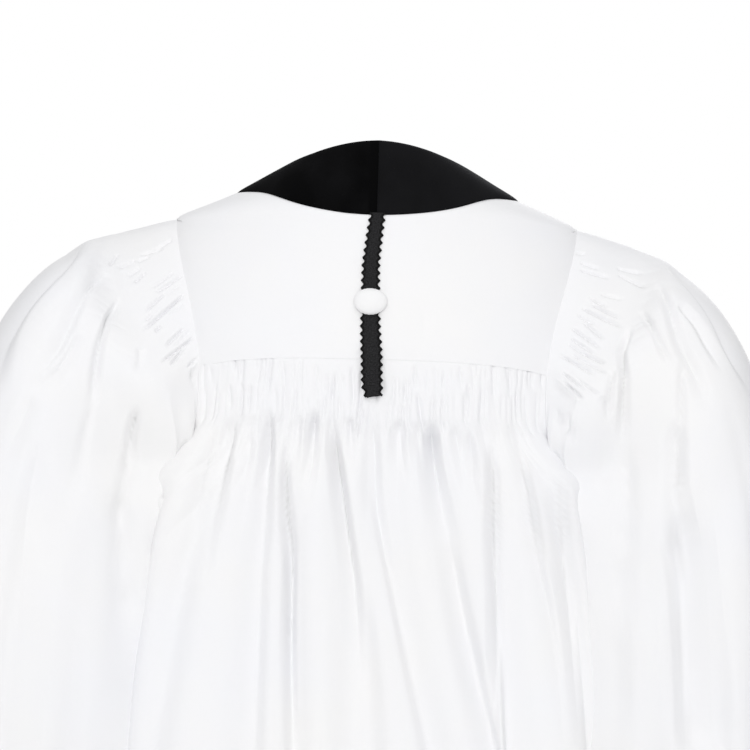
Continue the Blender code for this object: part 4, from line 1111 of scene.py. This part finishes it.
def back_yoke_grid():
    """The smooth back yoke, from the velvet and the shoulder ridges to the yoke seam."""
    down = np.linspace(0, YOKE_STEPS, 71)
    ridge = mix(BAND_TIP_HEIGHT, ARMHOLE[0].height, np.clip(down / RIDGE_STEPS, 0, 1))
    beyond_ridge = np.clip((down - RIDGE_STEPS) / (YOKE_STEPS - RIDGE_STEPS), 0, 1)
    station = even_station(beyond_ridge, BACK_SEAM_STATION)
    height = np.where(down <= RIDGE_STEPS, ridge, station_height(station))
    turn = np.where(down <= RIDGE_STEPS, 90.0, turn_at(station_x(station), height))
    right = pairs(turn, height)
    share = np.linspace(0, 1, 97)
    left = pairs(0.0, mix(band_back_height(0), YOKE_SEAM_HEIGHT, down / YOKE_STEPS))
    top = pairs(90 * share, band_back_height(90 * share))
    seam = mix(YOKE_SEAM_HEIGHT, ARMHOLE[BACK_SEAM_STATION].height, share ** YOKE_SEAM_BEND)
    bottom = pairs(turn[-1] * share, seam)
    grid = patch(top, bottom, left, right)
    return both(on_body(grid[..., 0], grid[..., 1]))


class ROBE_OT_back_yoke(bpy.types.Operator):
    """Cut the smooth back yoke"""

    bl_idname = "robe.back_yoke"
    bl_label = "Back yoke"

    def execute(self, context):
        sizes = sizes_of(context)
        base = back_yoke_grid()
        normals = normals_of(base)
        lift = creased(base, YOKE_CREASES)
        lift += ripple(base, size=150, height=0.5, seed=11) + ripple(base, size=45, height=0.12, seed=12)
        down = np.linspace(0, 1, base.shape[0])[:, None]
        across = np.linspace(0, 1, base.shape[1])[None, :]
        side = np.minimum(across, 1 - across)
        lift *= ramp(down, 1, 0.88) * ramp(side, 0, 0.06)
        lift += 0.12 - rolled(down, 0.02, 0.5)
        points, normals = lapped(base + normals * lift[..., None], normals, ("bottom", "left", "right"))
        points = turned_under(points, normals, ("top", "bottom", "left", "right"))
        sew(sizes, "yoke_back_cloth", "back_yoke", points)
        return {"FINISHED"}


def back_panel_grid():
    """The full back as a smooth body, with its shares across."""
    at = panel_marks(BACK_ROWS)
    middle, _station, _side = row_curves(BACK_ROWS)
    edge_turn, edge_height = edge_of(BACK_ROWS, at, False)
    share = even_outline(edge_turn[0], -230, 220)
    share = np.concatenate([-share[:0:-1], share])
    bend = np.where(at < 0.5, YOKE_SEAM_BEND, ROW_BEND)
    size = np.abs(share)[None, :]
    height = mix(middle(at)[:, None], edge_height[:, None], size ** bend[:, None])
    steady = np.where(at < 2, edge_turn, mix(np.interp(2, at, edge_turn), 90, ramp(at, 2, 8)))[:, None]
    turn = size * steady + (edge_turn[:, None] - steady) * size ** 8
    side = np.where(share >= 0, 1.0, -1.0)[None, :]
    body = full_sides(on_body(turn, height, side), share[None, :], edge_height)
    return share, turn * side, height, edge_turn[:, None], body


def hung(base, normals, lift, fall, height, edge, seed):
    """A panel hung in its folds: waved below its pleats, held at its edges, stitched at its hem."""
    lift = lift + ripple(base, size=90, height=0.5, seed=seed, stretch=3.0) * ramp(fall, 60, 120)
    lift = lift * edge - 0.1 * (1 - edge) - stitched(height - HEM_HEIGHT, HEM_STITCH)
    return turned_under(base + normals * lift[..., None], normals, ("top", "left", "right"))


class ROBE_OT_back_panel(bpy.types.Operator):
    """Gather and drape the full back"""

    bl_idname = "robe.back_panel"
    bl_label = "Back panel"

    def execute(self, context):
        sizes = sizes_of(context)
        share, turn, height, edge_turn, base = back_panel_grid()
        normals = normals_of(base, away=(0, 0, -700))
        even = np.linspace(0, 1, len(share))[None, :]
        fall = YOKE_SEAM_HEIGHT - height
        width = 2 * ARMHOLE[BACK_SEAM_STATION].x
        wander = 1.3 * np.sin(even * 61 + fall * 0.05) + 0.9 * np.sin(even * 23 - fall * 0.03)
        flare = 9 * np.sin(even * 9.4)
        tall = sizes.pleat_height / MM
        lift = pleats(even * width + wander, fall + flare, width, BACK_PLEATS, 21, BACK_PLEAT_BANDS, tall)
        soft = np.sin(even * 2 * math.pi * 31 + 2 * np.sin(even * 17)) * np.sin(even * 29)
        lift += 0.35 * soft * ramp(fall, 0, 30) * (1 - ramp(fall, 60, 80))
        deep = folds(turn, height, -edge_turn, edge_turn, BACK_VALLEYS)
        deep += small_folds(even, fall - 60, count=44, seed=23, depth=3.4, width=0.007, length=90)
        deep += small_folds(even, fall - 62, count=17, seed=24, depth=2.6, width=0.013, length=400)
        behind = ramp(-normals[..., 1], 0.1, 0.5)
        deep += BACK_CREASE_STRENGTH * creased(base, BACK_CREASES) * behind
        lift += deep * calm_sides(share[None, :], height) * sizes.fold_strength
        edge = ramp(np.abs(share), 1, 0.98)[None, :]
        points = hung(base, normals, lift, fall, height, edge, 25)
        sew(sizes, "back_panel_cloth", "back_panel", points)
        return {"FINISHED"}


def front_yoke_grid():
    """The right front yoke, from the shoulder ridge to the front yoke seam."""
    share = np.linspace(0, 1, 61)
    down = np.linspace(0, 1, 51)
    station = even_station(down, FRONT_SEAM_STATION, True)
    height = station_height(station)
    turn = np.array(turn_at(station_x(station), height, True))
    turn[0] = 90
    right = pairs(turn, height)
    band_height = mix(BAND_TIP_HEIGHT, FRONT_SEAM_HEIGHT, down ** FRONT_YOKE_CURVE)
    band_turn = np.array(turn_at(band_front_x(band_height), band_height, True))
    band_turn[0] = 90
    left = pairs(band_turn, band_height)
    top = pairs(90.0, mix(BAND_TIP_HEIGHT, ARMHOLE[0].height, share))
    bottom = pairs(mix(band_turn[-1], turn[-1], share), FRONT_SEAM_HEIGHT)
    grid = patch(top, bottom, left, right)
    return on_body(grid[..., 0], grid[..., 1])


class ROBE_OT_front_yokes(bpy.types.Operator):
    """Cut the two smooth front yokes"""

    bl_idname = "robe.front_yokes"
    bl_label = "Front yokes"

    def execute(self, context):
        sizes = sizes_of(context)
        base = front_yoke_grid()
        normals = normals_of(base, away=(100, 0, -150))
        down = np.linspace(0, 1, base.shape[0])[:, None]
        across = np.linspace(0, 1, base.shape[1])[None, :]
        free = ramp(down, 1, 0.88) * ramp(np.minimum(across, 1 - across), 0, 0.1)
        for side, seed in (("right", 31), ("left", 33)):
            lift = ripple(base, size=110, height=0.5, seed=seed)
            lift += ripple(base, size=40, height=0.12, seed=seed + 1)
            lift = lift * free + 0.12
            points, turned = lapped(base + normals * lift[..., None], normals, ("top", "bottom", "right"))
            points = turned_under(points, turned, ("top", "bottom", "left", "right"))
            sew(sizes, "yoke_front_cloth", "front_yoke", points,
                side=side)
        return {"FINISHED"}


def front_panel_grid():
    """The right front as a smooth body, with its shares across."""
    at = panel_marks(FRONT_ROWS)
    middle, _station, _side = row_curves(FRONT_ROWS)
    edge_turn, edge_height = edge_of(FRONT_ROWS, at, True)
    share = np.linspace(0, 1, 121)[None, :]
    height = mix(middle(at)[:, None], edge_height[:, None], share ** ROW_BEND)
    band_turn = turn_at(band_front_x(height), height, True)
    turn = mix(band_turn, edge_turn[:, None], share)
    body = full_sides(on_body(turn, height), share, edge_height)
    return share, turn, height, band_turn, edge_turn[:, None], body


class ROBE_OT_front_panels(bpy.types.Operator):
    """Gather and drape the two fronts"""

    bl_idname = "robe.front_panels"
    bl_label = "Front panels"

    def execute(self, context):
        sizes = sizes_of(context)
        share, turn, height, band_turn, edge_turn, base = front_panel_grid()
        normals = normals_of(base, away=(60, 0, -700))
        fall = FRONT_SEAM_HEIGHT - height
        width = ARMHOLE[FRONT_SEAM_STATION].x - BAND_FRONT_WIDTH
        tall = sizes.pleat_height / MM
        edge = ramp(np.minimum(share, 1 - share), 0, 0.03)
        for side, seed in (("right", 41), ("left", 51)):
            across = share * width + 0.8 * np.sin(share * 17 + fall * 0.05 + seed)
            lift = pleats(across, fall, width, FRONT_PLEATS, seed, FRONT_PLEAT_BANDS, tall)
            deep = folds(turn, height, band_turn, edge_turn, FRONT_VALLEYS, True)
            below = fall - 46
            deep += small_folds(share, below, count=12, seed=seed + 2, depth=3.2, width=0.026, length=90)
            deep += small_folds(share, below, count=5, seed=seed + 3, depth=2.6, width=0.05, length=400)
            deep += creased(base, FRONT_CREASES)
            lift += deep * calm_sides(share, height) * sizes.fold_strength
            points = hung(base, normals, lift, fall, height, edge, seed + 4)
            sew(sizes, "front_panel_cloth", "front_panel", points,
                side=side)
        return {"FINISHED"}


def sleeve_lines(around):
    """The lines of the right sleeve: the armhole, its head, then one for each ring."""
    turn = 360 * np.minimum(around, 1 - around)
    back = np.where(around <= 0.5, -1.0, 1.0)
    seam = armhole_at(around)
    steps = []
    for head_step in (HEAD_FIRST_STEP, HEAD_FLUTE_END):
        parts = {name: column(head_step, "around", name)(turn) for name in ("out", "back", "down")}
        steps.append(xyz(parts["out"], back * parts["back"], -parts["down"]))
    lines = [seam] + [seam + mix(steps[0], steps[1], along) for along in HEAD_LINES]
    angle = 2 * math.pi * around
    cosine = np.cos(angle)
    sine = np.sin(angle)
    inward = (1 + np.sign(cosine) * np.abs(cosine) ** RING_ROUNDNESS) / 2
    sideways = np.sign(sine) * np.abs(sine) ** RING_ROUNDNESS
    hug = np.where(cosine < 0, np.abs(2 * sine * cosine) ** WRAP_SHARPNESS, 0)
    pinch = 1 - INNER_PINCH * ((1 - cosine) / 2) ** 2
    for ring in SLEEVE_RINGS:
        x = mix(ring.inner_x, ring.outer_x, inward) - ring.wrap * hug
        depth = ring.depth * sideways * pinch
        lines.append(xyz(x, -depth, mix(ring.inner_height, ring.outer_height, inward)))
    return np.stack(lines)


def smooth_along(lines, steps):
    """Grid rows on smooth curves through the lines, with the place of each row among them."""
    gaps = np.maximum(np.linalg.norm(np.diff(lines, axis=0), axis=-1, keepdims=True), 1e-6)
    ways = np.diff(lines, axis=0) / gaps
    slopes = np.empty_like(lines)
    slopes[0] = ways[0]
    slopes[-1] = ways[-1]
    slopes[1:-1] = (ways[1:] * gaps[:-1] + ways[:-1] * gaps[1:]) / (gaps[:-1] + gaps[1:])
    rows = []
    marks = []
    for i, count in enumerate(steps):
        for k in range(count):
            rows.append(between(k / count, gaps[i], lines, slopes, i))
            marks.append(i + k / count)
    rows.append(lines[-1])
    marks.append(len(lines) - 1)
    return np.stack(rows), np.array(marks)


def sleeve_shares():
    """Shares round the sleeve, close together over the pleats of its head."""
    end = station_share(BACK_SEAM_STATION)
    fluted = np.linspace(0, end, 221)
    under = np.linspace(end, 1 - end, 61)[1:-1]
    front = np.linspace(0, end, 61)
    return np.concatenate([fluted, under, 1 - front[:0:-1]]), end


def relaxed(points, mark, times):
    """The sleeve with the turn under the arm eased, where its head meets its tube."""
    amount = (ramp(mark, 2, 3.2) * (1 - ramp(mark, 5, 7)))[:, None, None]
    for _time in range(times):
        sides = (np.roll(points, 1, axis=1) + np.roll(points, -1, axis=1)) / 2
        rows = points.copy()
        rows[1:-1] = (points[:-2] + points[2:]) / 2
        points = mix(points, (sides + rows) / 2, 0.7 * amount)
    return points


def corner_at(y, z):
    """How far back or forward the sleeve follows the side of the body."""
    share = mix(CORNER_SHARE, CORNER_LOW_SHARE, ramp(z, -450, -570))
    return share * np.where(y < 0, back_depth(z), front_depth(z))


def beside_body(points, mark):
    """The sleeve laid along the body below the underarm, with its inner corners filled out."""
    x, y, z = (points[..., k] for k in range(3))
    middle = (x.max(axis=1, keepdims=True) + x.min(axis=1, keepdims=True)) / 2
    reach = np.abs(y).max(axis=1, keepdims=True)
    wall = half_width(z) + CLOSE_FIT
    flap = bell(z, CORNER_FLAP_HEIGHT, CORNER_FLAP_SPREAD)
    corner = corner_at(y, z) * (1 + CORNER_WRAP * flap)
    lap = CORNER_LAP + CORNER_FLAP * flap
    ahead = np.maximum(middle - x, 1e-6)
    slope = np.abs(y) / ahead
    outline = ((wall, 0), (wall - lap, corner), (wall + CORNER_RUN, CORNER_RISE * reach), (middle, reach))
    new = ahead
    for (x0, y0), (x1, y1) in zip(outline, outline[1:]):
        x0, x1 = middle - x0, middle - x1
        part = (slope * x0 - y0) / ((y1 - y0) - slope * (x1 - x0) + 1e-9)
        inside = (part >= 0) & (part <= 1)
        new = np.where(inside, x0 + part * (x1 - x0), new)
    amount = ramp(z, UNDERARM_HEIGHT + 15, UNDERARM_HEIGHT - 10) * ramp(middle - x, 0, 12)
    scale = mix(1, new / ahead, amount * ramp(mark, 0.3, 1.5)[:, None])
    return xyz(middle - (middle - x) * scale, y * scale, z)


def clear_of_body(points):
    """The sleeve kept clear of the side of the body where it lies along it."""
    x, y, z = (points[..., k] for k in range(3))
    beside = (z < UNDERARM_HEIGHT - 63) & (np.abs(y) < 0.8 * corner_at(y, z))
    points = points.copy()
    points[..., 0] = np.where(beside, np.maximum(x, half_width(z) + CLOSE_FIT), x)
    return points


def turned_in(line, depth):
    """A step from a line round the armhole into the hollow of the robe."""
    step = np.zeros(line.shape)
    step[:, 1] = -np.sign(line[:, 1]) * depth
    step[:, 2] = -depth * (np.abs(line[:, 1]) < 1)
    return step[None]


def sleeve_folds(around, mark):
    """The broad folds that run down the sleeve."""
    places_round = np.array([fold.around / 360 for fold in SLEEVE_FOLDS])
    depths = np.array([fold.depth for fold in SLEEVE_FOLDS], float)
    shifted = np.mod(around - places_round[0], 1.0)
    marks = np.append(places_round - places_round[0], 1.0)
    depths = np.append(depths, depths[0])
    i = np.clip(np.searchsorted(marks, shifted, side="right") - 1, 0, len(marks) - 2)
    part = (shifted - marks[i]) / (marks[i + 1] - marks[i])
    growths = [0, 0, 0, 0] + [ring.growth for ring in SLEEVE_RINGS]
    growth = smooth(range(len(growths)), growths)(mark)
    return fold_shape(part, depths[i], depths[i + 1])[None, :] * growth[:, None]


class ROBE_OT_sleeves(bpy.types.Operator):
    """Set the two full sleeves, pleated round their heads"""

    bl_idname = "robe.sleeves"
    bl_label = "Sleeves"

    def execute(self, context):
        sizes = sizes_of(context)
        around, end = sleeve_shares()
        base, mark = smooth_along(sleeve_lines(around), SLEEVE_STEPS)
        base = relaxed(beside_body(relaxed(base, mark, 160), mark), mark, 12)
        normals = normals_of(base, closed=True)
        length = travelled(base)[:, None]
        round_head = np.where(around <= 0.5, around, around - 1)[None, :]
        pleated = 0.5 + round_head / end / 2
        fluted = ramp(np.abs(round_head), end, end - 0.012)
        back = ramp(-normals[..., 1], -0.1, 0.2)
        front = ramp(normals[..., 1], -0.1, 0.2)
        flute_end = float(length[int(np.searchsorted(mark, 3))][0])
        tall = sizes.pleat_height / MM
        top = ramp(0.5 * normals[..., 0] + 0.86 * normals[..., 2], 0.15, 0.75)
        top = top * (ramp(mark, 1.5, 5.5) * (1 - ramp(mark, 8.5, 11.5)))[:, None]
        swell = bell(base[..., 2], UNDERARM_SWELL_HEIGHT, UNDERARM_SWELL_SPREAD)
        swell = UNDERARM_SWELL * swell * (1 - ramp(length, 16, 46)) * back
        below_head = ramp(length, flute_end, flute_end + 60)
        for side, seed, own_side, puff in (("right", 61, 1, RIGHT_PUFF), ("left", 71, -1, LEFT_PUFF)):
            own, other = SLEEVE_CREASES[::own_side]
            own_pleats, other_pleats = SLEEVE_PLEATS[::own_side]
            lift = pressed(base, own_pleats, own_side, PLEAT_REACH) * back
            lift += pressed(base, other_pleats, -own_side, FRONT_PLEAT_REACH) * front
            lift *= SLEEVE_PLEAT_STRENGTH * tall / PLEAT_HEIGHT
            deep = sleeve_folds(around, mark)
            deep += fluted * small_folds(pleated, length - flute_end, count=30, seed=seed + 3,
                                         depth=1.2, width=0.009, length=90)
            deep += creased(base, own, own_side) * back
            deep += creased(base, other, -own_side) * front
            lift += puff * top + deep * sizes.fold_strength + swell
            lift += ripple(base, size=80, height=0.6, seed=seed + 5, stretch=2.0) * below_head
            lift *= ramp(length, 0, 8)
            lift -= stitched(length[-1] - length, CUFF_STITCH)
            points = clear_of_body(base + normals * lift[..., None])
            under = turned_in(armhole_at(around), HEAD_TURN_IN) - np.array([HEAD_TURN_SIDE, 0, 0])
            points = np.concatenate([points[:1] + under, points])
            sew(sizes, "sleeve_cloth", "sleeve", points,
                side=side, closed=True)
        return {"FINISHED"}


def velvet_grid():
    """The right velvet band: collar half, shoulder and front edge in one piece."""
    share = np.linspace(0, 1, 25)[None, :]
    turn = np.linspace(0, 90, 61)[:, None]
    neck = neck_back(turn[:, 0])[:, None, :]
    low = on_body(turn, band_back_height(turn))
    rows = [mix(neck, low, share[..., None])]
    down = np.linspace(0, 1, 41)[1:, None]
    inner_height = mix(NECK_SIDE_HEIGHT, V_POINT_HEIGHT, down)
    outer_height = mix(BAND_TIP_HEIGHT, FRONT_SEAM_HEIGHT, down)
    rows.append(front_lines(NECK_HALF_WIDTH * (1 - down), inner_height, outer_height, share))
    below = np.linspace(0, 1, 130)[1:, None]
    inner_height = mix(V_POINT_HEIGHT, HEM_HEIGHT, below)
    outer_height = mix(FRONT_SEAM_HEIGHT, HEM_HEIGHT, below)
    rows.append(front_lines(0 * below, inner_height, outer_height, share))
    return np.concatenate(rows)


def front_lines(inner_x, inner_height, outer_height, share):
    """Points across the velvet band in front."""
    x = mix(inner_x, band_front_x(outer_height), share)
    height = mix(inner_height, outer_height, share)
    return on_body(turn_at(x, height, True), height)


class ROBE_OT_velvet_band(bpy.types.Operator):
    """Lay the velvet band round the neck and down the front edges"""

    bl_idname = "robe.velvet_band"
    bl_label = "Velvet band"

    def execute(self, context):
        sizes = sizes_of(context)
        base = velvet_grid()
        normals = normals_of(base, away=(0, 0, -700))
        across = np.linspace(-1, 1, base.shape[1])[None, :]
        roll = 1.9 * (1 - np.abs(across) ** 8)
        centre = np.ones((base.shape[0], 1))
        centre[:4, 0] = (0.2, 0.6, 0.88, 0.98)
        for side, seed in (("right", 81), ("left", 91)):
            waves = ripple(base, size=60, height=0.5, seed=seed, stretch=2.0)
            lift = (roll - 0.4 + waves * (1 - across ** 4)) * centre
            points = base + normals * lift[..., None]
            points = turned_under(points, normals, ("top", "left", "right"), 3.0)
            sew(sizes, "velvet_cloth", "velvet_band", points,
                side=side, finish="velvet " + side)
        return {"FINISHED"}


def braid_base(x, height, lift):
    """Points on the yoke under the braid, raised off it."""
    side = np.where(x >= 0, 1.0, -1.0)
    point = on_body(turn_at(x, height), height, side)
    higher = on_body(turn_at(x, height + 1), height + 1, side)
    wider = on_body(turn_at(x + side, height), height, side)
    normal = unit(np.cross(wider - point, higher - point) * side[..., None])
    normal = np.where(normal[..., 1:2] > 0, -normal, normal)
    over_flutes = FLUTE_CLEARANCE * ramp(height, BRAID_LIFT_FROM, BRAID_LIFT_TO)
    return point + normal * (BRAID_CLEAR + over_flutes + lift)[..., None]


def scalloped(height, beat):
    """Half width of the braid out to the middle of its edge cords, at a count of scallops."""
    return braid_half_width(height) + SCALLOP_DEPTH * (1 - 2 * np.abs(np.sin(math.pi * beat)))


class ROBE_OT_gimp_braid(bpy.types.Operator):
    """Lay the gimp braid down the back of the yoke"""

    bl_idname = "robe.gimp_braid"
    bl_label = "Gimp braid"

    def execute(self, context):
        made = finishes(sizes_of(context))
        start = float(band_back_height(0)) + 2
        end = BRAID_LINE[0].height
        across = np.linspace(-1, 1, 25)[None, :]
        down = np.linspace(0, 1, 481)[:, None]
        height = mix(start, end, down) - 2.6 * (1 - across) / 2 * ramp(down, 0.9, 1)
        pitch = (start - end) / BRAID_SCALLOPS
        beat = (start - height) / pitch
        x = braid_x(height) + across * (scalloped(height, beat) - 0.4)
        crossing = 1.0
        for way in (1, -1):
            crossing = crossing * np.sin(2 * math.pi * (beat * 2 + way * across * 1.6))
        crown = 1.5 - 0.7 * np.abs(across) ** 4 + 0.32 * crossing
        strip = braid_base(x, height, crown)
        piece = cloth("gimp_braid_woven", strip, 0.0008, made["gimp"])
        edging = self.edging(start, end, pitch, made["gimp edge"])
        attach(edging, "root")
        dress(piece, "hood_braid")
        return {"FINISHED"}

    def edging(self, start, end, pitch, material):
        """The two scalloped edge cords, as tubes that run down beside the strip."""
        down = np.linspace(0, 1, BRAID_SCALLOPS * CORD_RINGS_A_SCALLOP + 1)
        angles = 2 * math.pi * np.arange(CORD_SIDES)[:, None] / CORD_SIDES
        bm = bmesh.new()
        for side in (-1, 1):
            height = mix(start, end - (1.8 if side < 0 else 0.0), down)
            x = braid_x(height) + side * (scalloped(height, (start - height) / pitch) - 0.2)
            line = braid_base(x, height, np.full(x.shape, 0.9))
            way = unit(np.gradient(line, axis=0))
            out = unit(np.cross(way, np.array([1.0, 0, 0])))
            over = np.cross(way, out)
            rows = []
            for i in range(len(line)):
                ring = line[i] + over[i] * CORD_HALF_WIDTH * np.cos(angles)
                ring = ring + out[i] * CORD_HALF_DEPTH * np.sin(angles)
                rows.append([bm.verts.new(place * MM) for place in ring])
            for a, b in zip(rows, rows[1:]):
                for k in range(CORD_SIDES):
                    after = (k + 1) % CORD_SIDES
                    bm.faces.new((a[k], a[after], b[after], b[k]))
            bm.faces.new(rows[0])
            bm.faces.new(rows[-1][::-1])
        bmesh.ops.recalc_face_normals(bm, faces=bm.faces)
        mesh = bpy.data.meshes.new("gimp_braid_edging")
        bm.to_mesh(mesh)
        bm.free()
        mesh.shade_smooth()
        mesh.materials.append(material)
        flat_uv(mesh)
        return placed("gimp_braid_edging", mesh)


def deselect_all():
    """Nothing selected and nothing active."""
    for item in bpy.context.selected_objects:
        item.select_set(False)
    bpy.context.view_layer.objects.active = None


class ROBE_OT_button(bpy.types.Operator):
    """Cover the domed button with cloth and sew it over the braid"""

    bl_idname = "robe.button"
    bl_label = "Covered button"

    def execute(self, context):
        made = finishes(sizes_of(context))
        deselect_all()
        bpy.ops.mesh.primitive_uv_sphere_add(segments=64, ring_count=32, radius=1)
        piece = context.object
        piece.name = piece.data.name = "button_covered"
        bpy.ops.object.mode_set(mode="EDIT")
        bpy.ops.mesh.select_all(action="SELECT")
        bpy.ops.mesh.bisect(plane_co=(0, 0, 0.02), plane_no=(0, 0, 1), clear_inner=True, use_fill=True)
        bpy.ops.mesh.inset(thickness=0.06)
        bpy.ops.mesh.extrude_region_move(TRANSFORM_OT_translate={"value": (0, 0, -0.12)})
        bpy.ops.mesh.select_all(action="SELECT")
        bpy.ops.mesh.normals_make_consistent(inside=False)
        bpy.ops.object.mode_set(mode="OBJECT")
        edge = piece.modifiers.new("Rolled edge", "BEVEL")
        edge.width = 0.05
        edge.segments = 3
        edge.limit_method = "ANGLE"
        edge.angle_limit = math.radians(50)
        bpy.ops.object.modifier_apply(modifier=edge.name)
        mesh = piece.data
        self.gather(mesh)
        centre_x = float(braid_x(BUTTON_HEIGHT))
        place = np.array([centre_x, centre_x])
        ground = braid_base(place, np.full(2, BUTTON_HEIGHT), np.array([0.0, 1.0]))
        normal = Vector(ground[1] - ground[0]).normalized()
        base = Vector(ground[0]) + normal * (BRAID_CLEAR + BRAID_THICKNESS)
        sideways = Vector((1, 0, 0))
        upward = normal.cross(sideways).normalized()
        if upward.z < 0:
            upward = -upward
        sideways = upward.cross(normal)
        turned = Matrix((sideways * BUTTON_HALF_WIDTH, upward * BUTTON_HALF_TALL, normal * BUTTON_DOME))
        turned = (turned.transposed() * MM).to_4x4()
        mesh.transform(Matrix.Translation((base + normal * BUTTON_LIFT) * MM) @ turned)
        mesh.shade_smooth()
        for old in list(mesh.uv_layers):
            mesh.uv_layers.remove(old)
        flat_uv(mesh)
        mesh.materials.append(made["button"])
        bpy.ops.object.shade_smooth_by_angle(angle=math.radians(60))
        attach(piece, "root")
        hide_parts("hood_button")
        return {"FINISHED"}

    def gather(self, mesh):
        """Flatten the dome and pinch its rim, where the cover is gathered behind it."""
        gathers = 26
        for vert in mesh.vertices:
            angle = math.atan2(vert.co.y, vert.co.x)
            low = max(0.0, 1 - vert.co.z / 0.45)
            pinch = 1 + 0.018 * low * math.sin(angle * gathers) + 0.008 * math.sin(angle * 3 + 1)
            flat = 0.92 + 0.08 * min(1, abs(vert.co.z))
            vert.co.x *= pinch
            vert.co.y *= pinch
            vert.co.z = math.copysign(abs(vert.co.z) ** 0.75, vert.co.z) * flat


def aimed(item, place, target):
    """Put a light or camera at a place and turn it to look at a target."""
    item.location = place
    item.rotation_euler = (Vector(target) - Vector(place)).to_track_quat("-Z", "Y").to_euler()


def lamp(name, place, target, power, size, colour=(1, 1, 1)):
    """A large soft square light that looks at a point."""
    data = bpy.data.lights.new(name, "AREA")
    data.energy = power
    data.shape = "RECTANGLE"
    data.size = data.size_y = size
    data.color = colour
    aimed(placed(name, data), place, target)


class ROBE_OT_stage(bpy.types.Operator):
    """Set the floor, the soft lights and the camera"""

    bl_idname = "robe.stage"
    bl_label = "Stage"

    def execute(self, context):
        scene = context.scene
        self.floor()
        self.light(scene)
        self.camera(scene)
        return {"FINISHED"}

    def floor(self):
        """A plain pale floor under the robe."""
        deselect_all()
        bpy.ops.mesh.primitive_plane_add(size=12, location=(0, 0, 0))
        ground = bpy.context.object
        ground.name = ground.data.name = "studio_floor"
        ground.data.transform(Matrix.Translation((0, 0, FLOOR_HEIGHT)))
        ground.data.materials.append(floor_finish())

    def light(self, scene):
        """Soft white light from all round, strongest from where the camera stands."""
        world = bpy.data.worlds.new("Studio")
        scene.world = world
        world.use_nodes = True
        tree = world.node_tree
        tree.nodes.clear()
        seen = add_node(tree, "Background", {"Color": (1, 1, 1, 1), "Strength": 1.0}).outputs[0]
        soft = {"Color": (0.985, 0.985, 0.995, 1), "Strength": 0.655}
        lit = add_node(tree, "Background", soft).outputs[0]
        by_camera = add_node(tree, "LightPath").outputs["Is Camera Ray"]
        choose = add_node(tree, "MixShader", {"Fac": by_camera, 1: lit, 2: seen})
        add_node(tree, "OutputWorld", {"Surface": choose.outputs[0]})
        lamp("Key", (-0.15, -3.6, 0.35), (0, 0, -0.3), power=47, size=2.0, colour=(1.0, 0.995, 0.985))
        lamp("Top", (0, -0.9, 2.4), (0, -0.05, -0.2), power=11, size=2.4)
        lamp("Back fill", (0.6, 3.4, 0.8), (0, 0, -0.4), power=40, size=2.2)
        scene.view_settings.view_transform = "Standard"
        scene.view_settings.look = "None"

    def camera(self, scene):
        """A long lens level with the shoulders, rolled a little as the photograph is."""
        data = bpy.data.cameras.new("Camera")
        data.sensor_width = SENSOR_WIDTH
        data.lens = SENSOR_WIDTH * CAMERA_DISTANCE / VIEW_WIDTH
        data.clip_end = 50
        camera = placed("Camera", data)
        aimed(camera, Vector(CAMERA_TARGET) + Vector((0, -CAMERA_DISTANCE, 0)), CAMERA_TARGET)
        camera.rotation_euler.rotate_axis("Z", math.radians(CAMERA_ROLL))
        scene.camera = camera


PIECES = (
    ROBE_OT_back_yoke,
    ROBE_OT_back_panel,
    ROBE_OT_front_yokes,
    ROBE_OT_front_panels,
    ROBE_OT_sleeves,
    ROBE_OT_velvet_band,
    ROBE_OT_gimp_braid,
    ROBE_OT_button,
    ROBE_OT_stage,
)


class ROBE_PT_pieces(bpy.types.Panel):
    """The robe's pieces, one button for each"""

    bl_idname = "ROBE_PT_pieces"
    bl_label = "Pulpit robe"
    bl_space_type = "VIEW_3D"
    bl_region_type = "UI"
    bl_category = "Pulpit robe"

    def draw(self, context):
        sizes = sizes_of(context)
        for name in sizes.__annotations__:
            self.layout.prop(sizes, name)
        for piece in PIECES:
            self.layout.operator(piece.bl_idname)


CLASSES = (RobeSizes, *PIECES, ROBE_PT_pieces)


def register():
    """Make the robe's sizes, operators and panel known."""
    for item in CLASSES:
        bpy.utils.register_class(item)
    bpy.types.Scene.robe_sizes = bpy.props.PointerProperty(type=RobeSizes)


def unregister():
    """Take them away again."""
    del bpy.types.Scene.robe_sizes
    for item in reversed(CLASSES):
        bpy.utils.unregister_class(item)


def main():
    """Make the whole robe."""
    register()
    bpy.ops.robe.back_yoke()
    bpy.ops.robe.back_panel()
    bpy.ops.robe.front_yokes()
    bpy.ops.robe.front_panels()
    bpy.ops.robe.sleeves()
    bpy.ops.robe.velvet_band()
    bpy.ops.robe.gimp_braid()
    bpy.ops.robe.button()
    bpy.ops.robe.stage()


if __name__ == "__main__":
    main()
